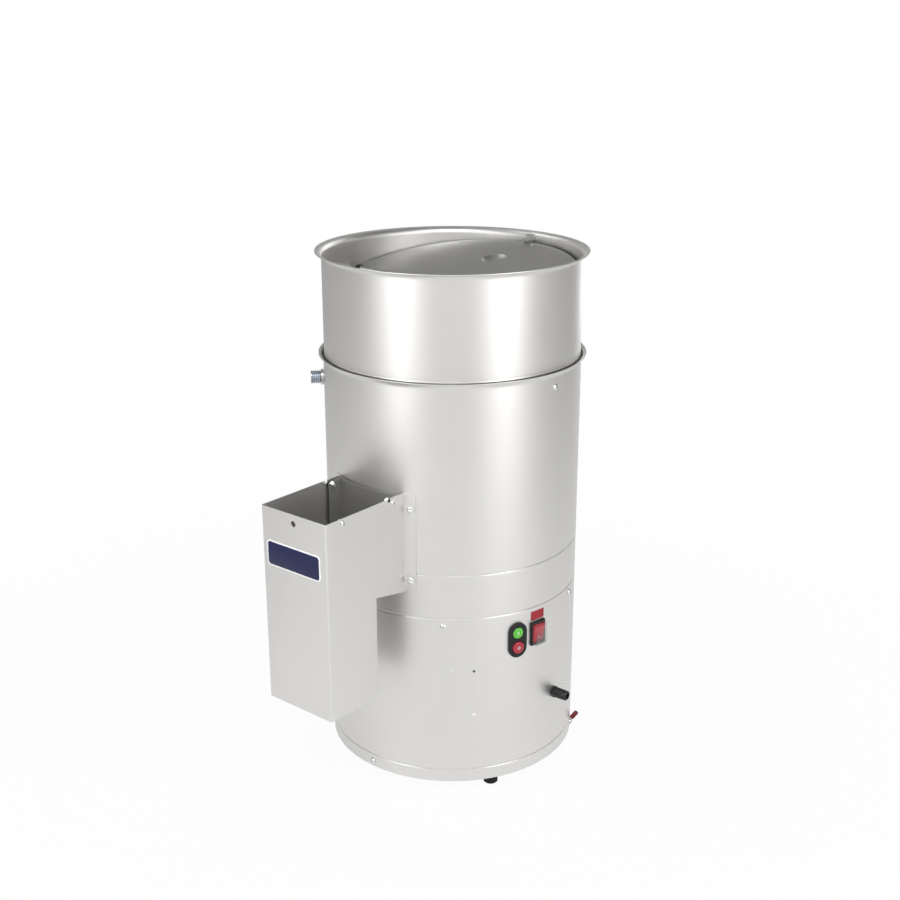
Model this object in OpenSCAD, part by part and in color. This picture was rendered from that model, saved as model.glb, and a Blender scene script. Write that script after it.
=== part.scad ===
// Electric potato peeler: a stainless drum on a motor casing, with a tilting flap in the loading tube
// and a discharge chute bolted to the drum. Z is up, the floor is z = 0, the drum's axis is upright,
// and the chute points to -y. Azimuths are counter-clockwise from +x, seen from above.

/* [Shells] */
// Outside diameter of the casing, the pan and the drum
body_d = 370.5; // [360:0.5:380]
// Thickness of the stainless sheet
sheet_t = 1.0; // [0.8:0.05:1.2]
// Height of the rubber feet
foot_h = 20.5; // [16:0.5:30]
// Height of the base ring
ring_h = 19.5; // [18:0.5:24]
// Height of the motor casing above the ring's seam
casing_h = 239.5; // [230:0.5:260]
// Height of the pan band
pan_h = 65.5; // [62:0.5:70]
// Height of the drum above the pan band, with its flared collar
drum_h = 276; // [260:0.5:300]
// Height of the loading tube above the collar
tube_rise = 145.3; // [135:0.1:160]
// How far a shell reaches down into the one below it
lap = 20; // [18:0.5:22]
// How far the tube reaches down into the drum
tube_plug = 70.5; // [62:0.5:78]
// Radial width of the tube's flared rim
rim_w = 9.3; // [8:0.1:10.5]
// Radial width of the drum's flared collar
collar_w = 6.8; // [6:0.1:8]

/* [Lid] */
// Depth of the flap's pivot under the tube's rim
lid_drop = 51.3; // [46:0.1:58]
// How far the flap leans at rest, with its rear edge up
lid_tilt = 10.25; // [9:0.25:11]
// Gap between the flap's edge and the tube
lid_gap = 3.15; // [2:0.05:4]
// Thickness of the flap's sheet
lid_t = 1.5; // [1.2:0.1:1.8]
// Diameter of the flap's rod
lid_rod_d = 8; // [7:0.1:9]
// Diameter of the finger dish
dish_d = 38; // [34:1:42]

/* [Chute] */
// Outside width of the chute
chute_w = 118.5; // [112:0.5:124]
// How far the chute's front stands out from the drum
chute_out = 142.05; // [132:0.05:150]
// Height of the chute's open top above the drum's seam
chute_rise = 118.5; // [112:0.5:126]
// Height of the spout, from its open top to its open foot
spout_h = 284.2; // [270:0.2:300]
// Depth of the spout, front to back
spout_depth = 92.3; // [86:0.1:96]
// Height of the window that lets the potatoes out
window_h = 114; // [106:1:118]
// Width of the land beside that window, inside the door
window_land = 7.8; // [6.5:0.1:9]
// Depth of the door's hinge under the chute's open top
hinge_drop = 6.5; // [6:0.1:7]
// Distance of the door's hinge from the drum's wall
hinge_out = 14.75; // [14:0.05:16]

/* [Drive] */
// Radial gap round the abrasive disc
disc_gap = 7.15; // [6.2:0.05:9]
// Diameter of the disc's shaft
shaft_d = 20; // [18:0.1:22]
// Outside diameter of the motor's pulley
small_pulley_d = 48; // [44:1:52]
// Azimuth of the motor
motor_az = 160; // [150:1:170]
// Diameter of the motor's housing
motor_d = 124; // [116:1:130]

/* [Controls] */
// Depth of the twin push-button's middle under the casing's top
buttons_drop = 42.1; // [38:0.1:50]
// Azimuth of the twin push-button
buttons_az = 339; // [337:0.5:340]
// Depth of the rocker switch's middle under the casing's top
rocker_drop = 40.1; // [38:0.1:50]
// Azimuth of the rocker switch
rocker_az = 350.2; // [349.5:0.1:352]
// Height of the cable gland above the ring's seam
gland_rise = 86.6; // [75:0.1:95]
// Azimuth of the cable gland
gland_az = 3; // [1:0.1:6]

/* [Fittings] */
// Depth of the water inlet under the collar
inlet_drop = 36.8; // [34:0.1:42]
// Azimuth of the water inlet
inlet_az = 225; // [222:1:228]
// Outside diameter of the water inlet
inlet_d = 18.6; // [17:0.1:20]
// Outside diameter of the waste pipe
drain_d = 40; // [37:0.5:42]
// Diameter of a rubber foot
foot_d = 21.2; // [18:0.2:26]
// Distance of a foot's middle from the wall
foot_in = 25.25; // [23:0.25:28]

/* [Fits] */
// Radial gap between a shell and the one that it plugs into
lap_gap = 0.1; // [0.1:0.02:0.16]
// Radial gap of a pin or shaft that turns in its hole
run_gap = 0.06; // [0.04:0.01:0.1]
// Gap between a fixed piece and the one that it rests on
seat_gap = 0.1; // [0.05:0.01:0.15]
// Radial gap round a fixed screw
hole_gap = 0.2; // [0.15:0.05:0.3]

/* [Hidden] */
$fn = 96;
// Number of sides of a large round that cuts a small piece
fine = 720;
// A length beyond the whole peeler, how far a cut runs past what it cuts, and how far joined shapes overlap
far = 600;
overrun = 10;
merge = 1;

// Small fits: pieces in touch, pressed pieces, and a flat piece on the round wall
touch_gap = 0.05;
press_gap = 0.02;
wall_gap = 0.3;
nut_wall_gap = 0.2;

// Radii of the shells: each one's skirt plugs into the wall of the shell below
body_r = body_d / 2;
inner_r = body_r - sheet_t;
skirt_r = inner_r - lap_gap;
skirt_inner_r = skirt_r - sheet_t;

// Heights of the seams
ring_z = foot_h;
casing_z = ring_z + ring_h;
pan_z = casing_z + casing_h;
drum_z = pan_z + pan_h;
collar_z = drum_z + drum_h;
rim_z = collar_z + tube_rise;
tube_foot_z = collar_z - tube_plug;

// The rolled top edge of a shell, and the joggle of the shell that stands in it
edge_h = 2.8;
edge_in = 0.8;
joggle_gap = 0.4;
joggle_h = 1.8;

// The ring's inward flange, and the gap between it and the casing's skirt
ring_flange_w = 47.25;
ring_flange_t = 1.5;
ring_skirt_gap = 4.5;
ring_lap = ring_h - ring_skirt_gap;

// Feet, with the stud and nut of each one
foot_az = [90, 210, 330];
foot_reach = body_r - foot_in;
foot_r = foot_d / 2;
foot_round = 1.2;
stud_r = 4;
stud_l = 12;
stud_nut_r = 7.5;
stud_nut_h = 6.5;

// Height of the two flares, and the black ring that lies deep in the collar
flare_h = 9.3;
flare_steps = 8;
seal_steps = 3;

// Pan head screws, bolts and their nuts
screw_r = 2.5;
screw_head_r = 4.8;
screw_head_h = 3.2;
screw_l = 6;
screw_tip = 1.5;
nut_w = 8;
nut_h = 4;
bolt_r = 3;
bolt_head_r = 5.7;
bolt_head_h = 4;
bolt_nut_w = 10;
bolt_nut_h = 5;

// Places of the shells' fastenings
screw_drop_share = 0.515;
ring_drop_share = 0.68;
ring_screw_az = [30, 150, 270];
ring_screw_z = casing_z - ring_lap * ring_drop_share;
pan_screw_az = [for (i = [0:4]) 17.3 + 72 * i];
pan_screw_z = pan_z - lap * screw_drop_share;
tube_screw_az = [-1.7, 88.3, 178.3];
tube_screw_drop = 22.6;
tube_screw_z = collar_z - tube_screw_drop;

// The flap, its rod, and the blocks that the rod turns in
lid_r = skirt_inner_r - lid_gap;
lid_pivot_z = rim_z - lid_drop;
lid_rod_r = lid_rod_d / 2;
lid_sink = 0.4;
lid_low = lid_rod_r - lid_sink;
lid_lap = 2;
pivot_block_l = 6.15;
pivot_wall = 1.6;
pivot_block_r = lid_rod_r + pivot_wall;
pivot_gap = 1.5;
rod_end_gap = 2.65;
rod_half = skirt_inner_r - rod_end_gap;
lid_ear_y = 25.6;
lid_ear_gap = 0.7;
lid_ear_r = skirt_inner_r - lid_ear_gap;

// The finger dish, 80 mm in from the flap's edge
dish_in = 80;
dish_y = lid_r - dish_in;
dish_depth = 6;
dish_rim = 0.5;
dish_ball_r = (pow(dish_d / 2, 2) + pow(dish_depth, 2)) / (2 * dish_depth);

// The lug on the wall, and the rubber pad with its screw on the flap
stop_w = 16;
stop_x = 4;
stop_in = 13.15;
stop_h = 8;
stop_sheet = 2.2;
stop_foot_h = 1.4;
pad_x = 6;
pad_w = 7.5;
pad_l = 6.5;
pad_in = 7.5;
pad_h = 3;
pad_y = lid_r - pad_in;
pad_strip_t = 2;
pad_strip_l = 12;
stem_r = 2;
stem_x = pad_x + stem_r + 1.5 * hole_gap;
lid_screw_x = 17;
lid_screw_in = 9.5;
lid_screw_y = lid_r - lid_screw_in;
lid_screw_r = 1.6;
lid_screw_head_r = 3;
lid_screw_head_h = 2;
lid_screw_l = 7;
lid_nut_w = 5.5;
lid_nut_h = 2.4;
pad_top = lid_low + lid_t + pad_h + touch_gap;
stop_z = lid_pivot_z + (pad_y + pad_l) * sin(lid_tilt) + pad_top * cos(lid_tilt) + 3 * seat_gap;

// The bar under the flap's front wing
weight_d = 16;
weight_l = 200;
weight_in = 65;
weight_y = lid_r - weight_in;

// The chute: the neck's floor rises from the drum to the spout's back
chute_reach = body_r + chute_out;
chute_top = drum_z + chute_rise;
chute_half = chute_w / 2;
chute_in = chute_half - sheet_t;
chute_fold_r = 2;
spout_back = chute_reach - spout_depth;
spout_foot = chute_top - spout_h;
neck_drop = 27.3;
neck_z = drum_z - neck_drop;
neck_rise = 11.1;
neck_in = 8.75;
neck_y = body_r - neck_in;
hinge_z = chute_top - hinge_drop;
hinge_reach = body_r + hinge_out;
front_screw_in = 30.7;
front_screw_reach = chute_reach - front_screw_in;
front_hole_d = 8.5;
front_hole_drop = 13;
front_hole_z = chute_top - front_hole_drop;
notch_w = 4.7;
notch_h = 4.5;
notch_out = 6;

// The chute's two flanges and their bolts, in lengths along the wall
flange_r = body_r + seat_gap;
flange_w = 17.6;
flange_round = 6;
flange_foot_gap = 0.5;
flange_from = asin(chute_in / flange_r);
flange_to = flange_from + flange_w / flange_r * 180 / PI;
bolt_in = 10;
bolt_edge = 22.2;
bolt_low_drop = 9.2;
chute_bolt_az = flange_from + bolt_in / flange_r * 180 / PI;
chute_bolt_low = drum_z - bolt_low_drop;
chute_bolt_high = chute_top - bolt_edge;

// The name plate on the chute's front
plate_in = 10;
name_plate_h = 36.5;
name_plate_t = 0.6;
name_plate_round = 6;
name_plate_shift = 1.7;
name_plate_drop = 64.5;

// The door: a curved tray with an ear at each side, and the window behind it
door_gap = 3.05;
door_side_gap = 3.45;
door_t = 1.2;
door_r = body_r + door_gap;
door_half = chute_in - door_side_gap;
window_w = 2 * (door_half - window_land);
window_drop = 11;
window_z = drum_z - window_drop;
window_round = 8;
door_lap = 5;
door_foot = window_z - door_lap;
door_top_drop = 1.5;
door_top = chute_top - door_top_drop;
ear_edge = 5;
ear_reach = hinge_reach + ear_edge;
ear_foot_out = 3.7;
ear_foot_reach = door_r + ear_foot_out;
ear_step = 57;
ear_step_z = hinge_z - ear_step;
ear_corner = 3;
bush_r = 5;
side_head_r = 4.3;
side_head_h = 2.9;
side_nut_h = 4.6;
side_tip = 2.5;
seal_edge = 1.5;
seal_drop = 2;

// Pan and disc
pan_floor_rise = 8.5;
pan_floor_z = pan_z + pan_floor_rise;
pan_floor_t = 2;
shaft_r = shaft_d / 2;
hub_wall = 14;
hub_r = shaft_r + hub_wall;
dam_gap = 8;
dam_r = hub_r + dam_gap;
dam_t = 2;
dam_h = 18;
dam_z = pan_floor_z + dam_h;
disc_rise = 30;
disc_foot = pan_floor_z + disc_rise;
disc_t = 6;
disc_r = skirt_inner_r - disc_gap;
disc_top = disc_foot + disc_t;
hub_lift = 8;
skirt_lap = 7;
skirt_wall = 3;
skirt_gap = 5;
paddles = 3;
paddle_t = 5;
paddle_lift = 10;
paddle_gap = 12;
paddle_edge = 8;
abrasive_t = 4;
abrasive_edge = 1;
ridge_h = 9;
ridge_w = 30;
ridge_edge = 4;
cap_edge = 6;
cap_r = hub_r + cap_edge;
cap_foot_h = 6;
cap_h = 12;
cap_gap = 1;
liner_t = 2.55;
liner_gap = 0.25;
liner_foot = 4;
liner_top = 5;
liner_in = 10.42;
liner_half = 180 - flange_to - liner_in / inner_r * 180 / PI;

// Shaft, bearings and their housing, all hung from the pan's floor
housing_top = pan_floor_z - pan_floor_t;
bearing_wall = 13.5;
bearing_r = shaft_r + bearing_wall;
bearing_h = 14;
bearing_drop = 26;
bearing_span = 60;
bearing_high = housing_top - bearing_drop;
bearing_low = bearing_high - bearing_span;
race_in = 5;
race_out = 8.5;
race_step = 1;
lip_gap = 2;
housing_wall = 10.5;
housing_r = bearing_r + housing_wall;
housing_foot_h = 3;
housing_foot = bearing_low - housing_foot_h;
housing_bore_w = 6;
housing_flange_w = 26;
housing_flange_r = housing_r + housing_flange_w;
housing_flange_t = 8;
housing_bolt_w = 12;
housing_bolt_r = housing_r + housing_bolt_w;
housing_nut_h = 5.5;
housing_tip = 6;
shaft_top_h = 8;
shaft_top = disc_top + shaft_top_h;
shaft_tail = 14;

// Belt drive: the belt's middle runs a little inside each pulley's rim
belt_drop = 16;
belt_z = bearing_low - belt_drop;
belt_w = 13;
belt_foot_w = 8;
belt_h = 8;
belt_gap = 0.3;
belt_sink = 1;
rim_t = 17;
rim_depth = 18;
web_half = 3;
pulley_gap = 8;
pulley_hub_w = 12;
pulley_hub_low = 3;
pulley_hub_high = 1;
shaft_foot = belt_z - shaft_tail;

// Motor: it stands as far out as the casing lets it, and the driven pulley takes the room that is left
motor_r = motor_d / 2;
motor_wall_gap = 9.15;
motor_reach = skirt_inner_r - motor_wall_gap - motor_r;
small_r = small_pulley_d / 2;
big_r = motor_reach - small_r - pulley_gap;
belt_big = big_r - belt_sink;
belt_small = small_r - belt_sink;
belt_lean = asin((belt_big - belt_small) / motor_reach);
belt_run = motor_reach * cos(belt_lean);
motor_shaft_r = 7;
motor_lift = 4;
motor_foot = casing_z + motor_lift;
motor_tail = 20;
motor_nose = 11;
plate_drop = 24;
plate_z = belt_z - plate_drop;
plate_t = 5;
plate_near = 16;
plate_edge = 12;
plate_corner = 10;
plate_bore_r = 20;
fan_cover_h = 26;
fan_cover_t = 2;
fan_corner = 5;
fan_holes = 12;
fan_hole_r = 5;
fan_hole_in = 28;
fin_count = 36;
fin_h = 5;
fin_t = 2;
fin_root = 1;
end_t = 6;
end_high = 12;
end_gap = 3;
motor_screw_in = 12;
motor_screw_r = 3;
motor_screw_head_r = 4.8;
motor_screw_head_h = 3;
motor_screw_l = 7;
motor_hole_l = 8;

// Four studs beside the motor, as [x, y] in the motor's frame
hanger_r = 5;
hanger_nut_r = 9.8;
hanger_nut_h = 7;
hanger_tail = 10;
hanger_near = 10;
hanger_side = 30;
hanger_far = 38;
hanger_far_side = 4;
hanger_x = [motor_reach - motor_r - hanger_near, motor_reach + hanger_far];
hanger_y = [motor_r + hanger_side, motor_r + hanger_far_side];
hangers = [for (i = [0, 1], side = [-1, 1]) [hanger_x[i], side * hanger_y[i]]];

// Twin push-button
buttons_z = pan_z - buttons_drop;
bezel_w = 29;
bezel_h = 53.5;
bezel_t = 3.3;
bezel_lap = 2.5;
button_rise = 11;
button_gap = 0.25;
green_r = 8.4;
green_proud = 0.6;
red_r = 9;
red_proud = 2.6;
cap_round = 1.6;
button_travel = 2.5;
button_rest = 0.5;
well_depth = 8;
switch_front = 0.6;
switch_l = 40;
switch_block_l = 34;
switch_w = 26;
switch_h = 50;
switch_round = 2;
switch_neck_in = 1;
switch_neck_end = 2.5;

// Rocker switch
rocker_z = pan_z - rocker_drop;
rocker_bezel_w = 27;
rocker_bezel_h = 36.3;
rocker_bezel_t = 2.6;
rocker_bezel_round = 1.5;
rocker_w = 20;
rocker_h = 28;
rocker_front = 5.4;
rocker_dip = 1.9;
rocker_end = 1.6;
rocker_chamfer = 0.8;
rocker_back = 5;
rocker_root = 4;
rocker_lean = 8;
rocker_pin_r = 1.5;
rocker_gap = 0.4;
rocker_wall = 0.9;
rocker_body_l = 26;
rocker_well = 8;
rocker_hole_gap = 0.2;
cover_w = 24;
cover_h = 33;
cover_rise = 8.6;
cover_t = 0.8;
cover_round = 3;

// Cable gland
gland_z = casing_z + gland_rise;
gland_hex = 8.4;
gland_hex_l = 5.5;
gland_thread_r = 6;
gland_r = 7.6;
gland_l = 24.8;
gland_bore_r = 4.6;
gland_round = 1.6;
gland_tail = 10;
gland_thread_l = 22;
gland_nut_r = 9;
gland_nut_h = 4;
gland_nut_gap = 0.4;
gland_nut_bore = 0.05;
gland_nut_well = 7;
gland_ribs = 12;
gland_rib_r = 0.8;
gland_rib_from = 2;

// Earth terminal
terminal_r = 5;
terminal_t = 0.9;
tongue_w = 4;
tongue_l = 5.2;
tongue_bend = 3;
pin_r = 1.6;
pin_from = 1.2;
pin_l = 12;
sleeve_r = 3.6;
sleeve_l = 12.5;
sleeve_from = 3.1;
sleeve_gap = 0.05;
sleeve_lean = 36;

// Electrics: a plate on two studs, with a contactor, and one rivet by the gland
electrics_az = 313.8;
electrics_rise = 123;
electrics_z = casing_z + electrics_rise;
electrics_in = 12.15;
electrics_r = skirt_inner_r - electrics_in;
electrics_w = 60;
electrics_h = 110;
electrics_t = 2;
electrics_round = 4;
weld_az = [308.8, 318.8];
weld_rise = [160.5, 87.3];
weld_r = 2;
weld_head_r = 3;
weld_head_h = 1.4;
weld_tail = 6.4;
weld_nut_r = 4.05;
weld_nut_h = 3;
weld_tip = 1.5;
small_hole_rise = 158.4;
small_hole_r = 1.6;
rivet_az = 13.2;
rivet_rise = 86.8;
rivet_z = casing_z + rivet_rise;
rivet_r = 1.6;
rivet_head_r = 2.6;
rivet_head_h = 1.2;
rivet_l = 4;
contactor_w = 44;
contactor_h = 60;
contactor_mid_h = 38;
contactor_t = 20;
contactor_mid_t = 38;

// Water inlet and its nuts and nozzle
inlet_z = collar_z - inlet_drop;
inlet_r = inlet_d / 2;
inlet_bore_r = 6.5;
inlet_l = 14.2;
inlet_chamfer = 1;
inlet_thread = 0.2;
inlet_tail_in = 6.15;
inlet_nut_r = 11.25;
inlet_nut_h = 4;
inlet_inner_nut_r = 12;
inlet_nut_gap = 0.15;
inner_nut_gap = 0.5;
nozzle_l = 10.95;
nozzle_t = 2;
nozzle_slot = 3;

// Waste pipe, welded to a curved flange on the pan
drain_l = 40;
drain_r = drain_d / 2;
drain_wall = 1.5;
drain_sink = 4;
drain_z = pan_floor_z + drain_r - drain_sink;
drain_flange_w = 6;
drain_sweep = 2 * asin((drain_r + drain_flange_w) / body_r);
drain_flange_t = 1.5;
drain_bead = 1.2;
drain_bead_l = 2.65;

// The middle of the peeler's footprint, which is the origin
middle_x = (body_r + gland_l - skirt_r - rim_w) / 2;
middle_y = (inner_r + drain_l - chute_reach) / 2;

// Places its children on the wall: their x runs round the drum, their y is up and their z points out
module on_wall(az, z, r = body_r) {
  rotate([0, 0, az])
    translate([r, 0, z])
      rotate([90, 0, 90])
        children();
}

// Places its children at each of a number of places round the axis
module around(count, r, first = 0) {
  for (i = [0:count - 1])
    rotate([0, 0, first + 360 / count * i])
      translate([r, 0, 0])
        children();
}

// Turned piece along z, from an outline of [radius, height] points
module turned(outline) {
  rotate_extrude()
    polygon(outline);
}

// Upright tube wall
module tube(r_out, r_in, z_low, z_high) {
  turned([[r_in, z_low], [r_out, z_low], [r_out, z_high], [r_in, z_high]]);
}

// Part of an upright tube wall, round a middle azimuth
module wall_sector(r_in, r_out, z_low, z_high, middle, half) {
  rotate([0, 0, middle - half])
    rotate_extrude(angle = 2 * half)
      translate([r_in, z_low])
        square([r_out - r_in, z_high - z_low]);
}

// Rectangle with round corners, on its middle
module rounded(w, h, r) {
  square([w - 2 * r, h], center = true);
  square([w, h - 2 * r], center = true);
  for (x = [-1, 1], y = [-1, 1])
    translate([x * (w / 2 - r), y * (h / 2 - r)])
      circle(r);
}

// Upright oval: a rectangle with half round ends
module oval(w, h) {
  square([w, h - w], center = true);
  for (y = [-1, 1])
    translate([0, y * (h - w) / 2])
      circle(w / 2);
}

// Quarter round from the rim of a head to its middle
function dome(r, h, steps = 6) =
  [for (i = [0:steps]) [r * cos(90 * i / steps), h * sin(90 * i / steps)]];

// Pan head screw along z: the head's seat is z = 0 and the shank points down
module pan_screw(r, head_r, head_h, length) {
  difference() {
    union() {
      turned(concat([[0, 0]], [[head_r, 0]], [for (p = dome(head_r, head_h * 0.85)) p + [0, head_h * 0.15]]));
      translate([0, 0, -length])
        cylinder(r = r, h = length + head_h / 2);
    }
    for (turn = [0, 90])
      rotate([0, 0, turn])
        translate([0, 0, head_h])
          cube([head_r * 1.1, head_r * 0.24, head_h], center = true);
  }
}

// Hexagon nut along z, on z = 0, with the end of its screw
module nut(across, h, shank_r, tip) {
  cylinder(r = across / 2 / cos(30), h = h, $fn = 6);
  cylinder(r = shank_r, h = h + tip);
}

// Turned pin with a domed head, from z = 0 to its head's seat
module headed_pin(r, length, head_r, head_h) {
  turned(concat(
    [[0, 0], [r, 0], [r, length], [head_r, length]],
    [for (p = dome(head_r, head_h)) p + [0, length]]));
}

// Outline of a shell's wall: a skirt inside the shell below, a joggle out, and a rolled top edge
function shell_outline(z_low, z_high, skirt) = [
  [skirt_inner_r, z_low - skirt],
  [skirt_r, z_low - skirt],
  [skirt_r, z_low + joggle_gap],
  [body_r, z_low + joggle_gap + joggle_h],
  [body_r, z_high - edge_h],
  [body_r - edge_in * 0.15, z_high - edge_h * 0.6],
  [body_r - edge_in * 0.5, z_high - edge_h * 0.2],
  [body_r - edge_in, z_high],
  [inner_r, z_high],
  [inner_r, z_low + joggle_gap + joggle_h + sheet_t / 2],
  [skirt_inner_r, z_low + joggle_gap + sheet_t / 2]];

// Points of a flared edge: the under side going up and out, then the upper side coming back
function flare_under(r, w, top) =
  [for (i = [0:flare_steps]) let (a = 90 * i / flare_steps)
    [r + w * (1 - cos(a)), top - sheet_t - (flare_h - sheet_t) * (1 - sin(a))]];
function flare_over(r, w, top) =
  [for (i = [flare_steps:-1:0]) let (a = 90 * i / flare_steps)
    [r - sheet_t + (w + sheet_t) * (1 - cos(a)), top - flare_h * (1 - sin(a))]];

// Cylinder along a wall's normal, through both the wall and what plugs into it
module wall_bore(az, z, r) {
  on_wall(az, z, body_r - overrun)
    cylinder(r = r, h = 2 * overrun);
}

// Screw holes through a wall at a list of azimuths
module wall_holes(azimuths, z, r) {
  for (az = azimuths)
    wall_bore(az, z, r + hole_gap);
}

module chute_bolt_holes() {
  for (side = [-1, 1], z = [chute_bolt_low, chute_bolt_high])
    wall_holes([270 + side * chute_bolt_az], z, bolt_r);
}

module feet() {
  color("#202122")
    around(len(foot_az), foot_reach, foot_az[0])
      turned([
        [0, 0],
        [foot_r - foot_round, 0],
        [foot_r, foot_round],
        [foot_r, foot_h - foot_round],
        [foot_r - foot_round / 2, foot_h],
        [0, foot_h]]);
}

module foot_studs() {
  color("#b9bcc0")
    around(len(foot_az), foot_reach, foot_az[0])
      translate([0, 0, ring_z]) {
        cylinder(r = stud_r, h = stud_l);
        translate([0, 0, ring_flange_t])
          cylinder(r = stud_nut_r, h = stud_nut_h, $fn = 6);
      }
}

module base_ring() {
  color("#c9ccd0")
    difference() {
      turned([
        [body_r - ring_flange_w, ring_z],
        [body_r - sheet_t, ring_z],
        [body_r, ring_z + sheet_t],
        [body_r, casing_z - edge_h],
        [body_r - edge_in * 0.15, casing_z - edge_h * 0.6],
        [body_r - edge_in * 0.5, casing_z - edge_h * 0.2],
        [body_r - edge_in, casing_z],
        [inner_r, casing_z],
        [inner_r, ring_z + ring_flange_t],
        [body_r - ring_flange_w, ring_z + ring_flange_t]]);
      around(len(foot_az), foot_reach, foot_az[0])
        cylinder(r = stud_r + hole_gap, h = far, center = true);
      wall_holes(ring_screw_az, ring_screw_z, screw_r);
    }
}

// One screw through two walls, with its nut inside
module shell_screw(az, z, lift = 0) {
  on_wall(az, z, body_r + lift)
    pan_screw(screw_r, screw_head_r, screw_head_h, body_r + lift - skirt_inner_r + merge);
  on_wall(az, z, skirt_inner_r - nut_wall_gap)
    rotate([180, 0, 0])
      nut(nut_w, nut_h, screw_r, screw_tip);
}

module casing_screws() {
  color("#c4c7cb") {
    // The ring's first screw also holds the earth terminal, so its head stands clear of the wall
    for (az = ring_screw_az)
      shell_screw(az, ring_screw_z, az == ring_screw_az[0] ? terminal_t + 2 * seat_gap : 0);
    for (az = pan_screw_az)
      shell_screw(az, pan_screw_z);
    for (az = tube_screw_az)
      shell_screw(az, tube_screw_z);
  }
}

module motor_casing() {
  color("#c9ccd0")
    difference() {
      turned(shell_outline(casing_z, pan_z, ring_lap));
      wall_holes(ring_screw_az, ring_screw_z, screw_r);
      wall_holes(pan_screw_az, pan_screw_z, screw_r);
      on_wall(buttons_az, buttons_z, body_r - overrun)
        linear_extrude(2 * overrun)
          oval(bezel_w - 2 * bezel_lap, bezel_h - 2 * bezel_lap);
      on_wall(rocker_az, rocker_z, body_r - overrun)
        linear_extrude(2 * overrun)
          square([
            rocker_w + 2 * (rocker_gap + rocker_wall + rocker_hole_gap),
            rocker_h + 2 * (rocker_gap + rocker_wall + rocker_hole_gap)], center = true);
      wall_holes([gland_az], gland_z, gland_thread_r);
      for (i = [0, 1])
        wall_holes([weld_az[i]], casing_z + weld_rise[i], weld_r);
      wall_holes([weld_az[1]], casing_z + small_hole_rise, small_hole_r);
      wall_holes([rivet_az], rivet_z, rivet_r);
    }
}

module pan() {
  color("#c9ccd0")
    difference() {
      union() {
        turned(shell_outline(pan_z, drum_z, lap));
        tube(inner_r + sheet_t / 2, dam_r, pan_floor_z - pan_floor_t, pan_floor_z);
        tube(dam_r, dam_r - dam_t, pan_floor_z - pan_floor_t, dam_z);
      }
      wall_holes(pan_screw_az, pan_screw_z, screw_r);
      chute_bolt_holes();
      on_wall(90, drain_z, inner_r - 3 * sheet_t)
        cylinder(r = drain_r + seat_gap, h = overrun);
      translate([-window_w / 2, -body_r - overrun, window_z])
        cube([window_w, 2 * overrun + body_r / 2, far]);
      around(4, housing_bolt_r, 45)
        translate([0, 0, pan_floor_z])
          cylinder(r = stud_r + hole_gap, h = overrun, center = true);
    }
}

module window_cut() {
  translate([0, 0, window_z + window_h / 2])
    rotate([90, 0, 0])
      linear_extrude(far)
        rounded(window_w, window_h, window_round);
}

module drum() {
  color("#d3d6d9")
    difference() {
      turned(concat(
        [[skirt_inner_r, drum_z - lap], [skirt_r, drum_z - lap], [skirt_r, drum_z + joggle_gap]],
        [[body_r, drum_z + joggle_gap + joggle_h]],
        flare_under(body_r, collar_w, collar_z),
        flare_over(body_r, collar_w, collar_z),
        [[inner_r, drum_z + joggle_gap + joggle_h + sheet_t / 2]],
        [[skirt_inner_r, drum_z + joggle_gap + sheet_t / 2]]));
      window_cut();
      chute_bolt_holes();
      wall_holes(tube_screw_az, tube_screw_z, screw_r);
      wall_holes([inlet_az], inlet_z, inlet_r);
    }
}

// Abrasive lining of the drum, open at the chute
module drum_liner() {
  color("#5b5550")
    wall_sector(inner_r - liner_gap - liner_t, inner_r - liner_gap, drum_z + liner_foot,
      tube_foot_z - liner_top, 90, liner_half);
}

// Black rubber ring that lies deep in the flared collar, round the tube
module collar_seal() {
  ring_steps = [for (i = [1:seal_steps]) 90 * i / flare_steps];
  seal_z = collar_z + seat_gap;
  color("#17181a")
    turned(concat(
      [for (a = ring_steps)
        [inner_r - seat_gap / 2 + (collar_w + sheet_t) * (1 - cos(a)), seal_z - flare_h * (1 - sin(a))]],
      [for (i = [seal_steps - 1, 0]) [skirt_r + seat_gap, seal_z - flare_h * (1 - sin(ring_steps[i]))]]));
}

module loading_tube() {
  color("#cdd0d3")
    difference() {
      turned(concat(
        [[skirt_inner_r, tube_foot_z], [skirt_r, tube_foot_z]],
        flare_under(skirt_r, rim_w, rim_z),
        flare_over(skirt_r, rim_w, rim_z)));
      wall_holes(tube_screw_az, tube_screw_z, screw_r);
      wall_holes([inlet_az], inlet_z, inlet_r);
    }
}

// Places its children in the flap's own frame: x along the rod, y to the rear edge, z off the sheet
module on_lid() {
  translate([0, 0, lid_pivot_z])
    rotate([lid_tilt, 0, 0])
      children();
}

// Hole through the flap's sheet
module lid_hole(x, y, r) {
  translate([x, y, 0])
    cylinder(r = r, h = 2 * overrun, center = true);
}

// Half disc of the flap, on the side of the rod that `rear` names. Ears beside the rod reach to the wall,
// and each ear is cut back round its pivot block.
module lid_wing(rear) {
  linear_extrude(lid_t)
    difference() {
      union() {
        circle(lid_r);
        intersection() {
          circle(lid_ear_r);
          square([2 * lid_ear_r, 2 * lid_ear_y], center = true);
        }
      }
      translate([-far / 2, rear ? lid_lap / 2 - lid_rod_r - far : lid_rod_r - lid_lap / 2])
        square(far);
      for (side = [-1, 1])
        translate([side * skirt_inner_r, 0])
          square(2 * [pivot_block_l + pivot_gap, pivot_block_r + pivot_gap], center = true);
    }
}

module lid_rod_cut() {
  rotate([0, 90, 0])
    cylinder(r = lid_rod_r + press_gap, h = far, center = true);
}

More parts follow.
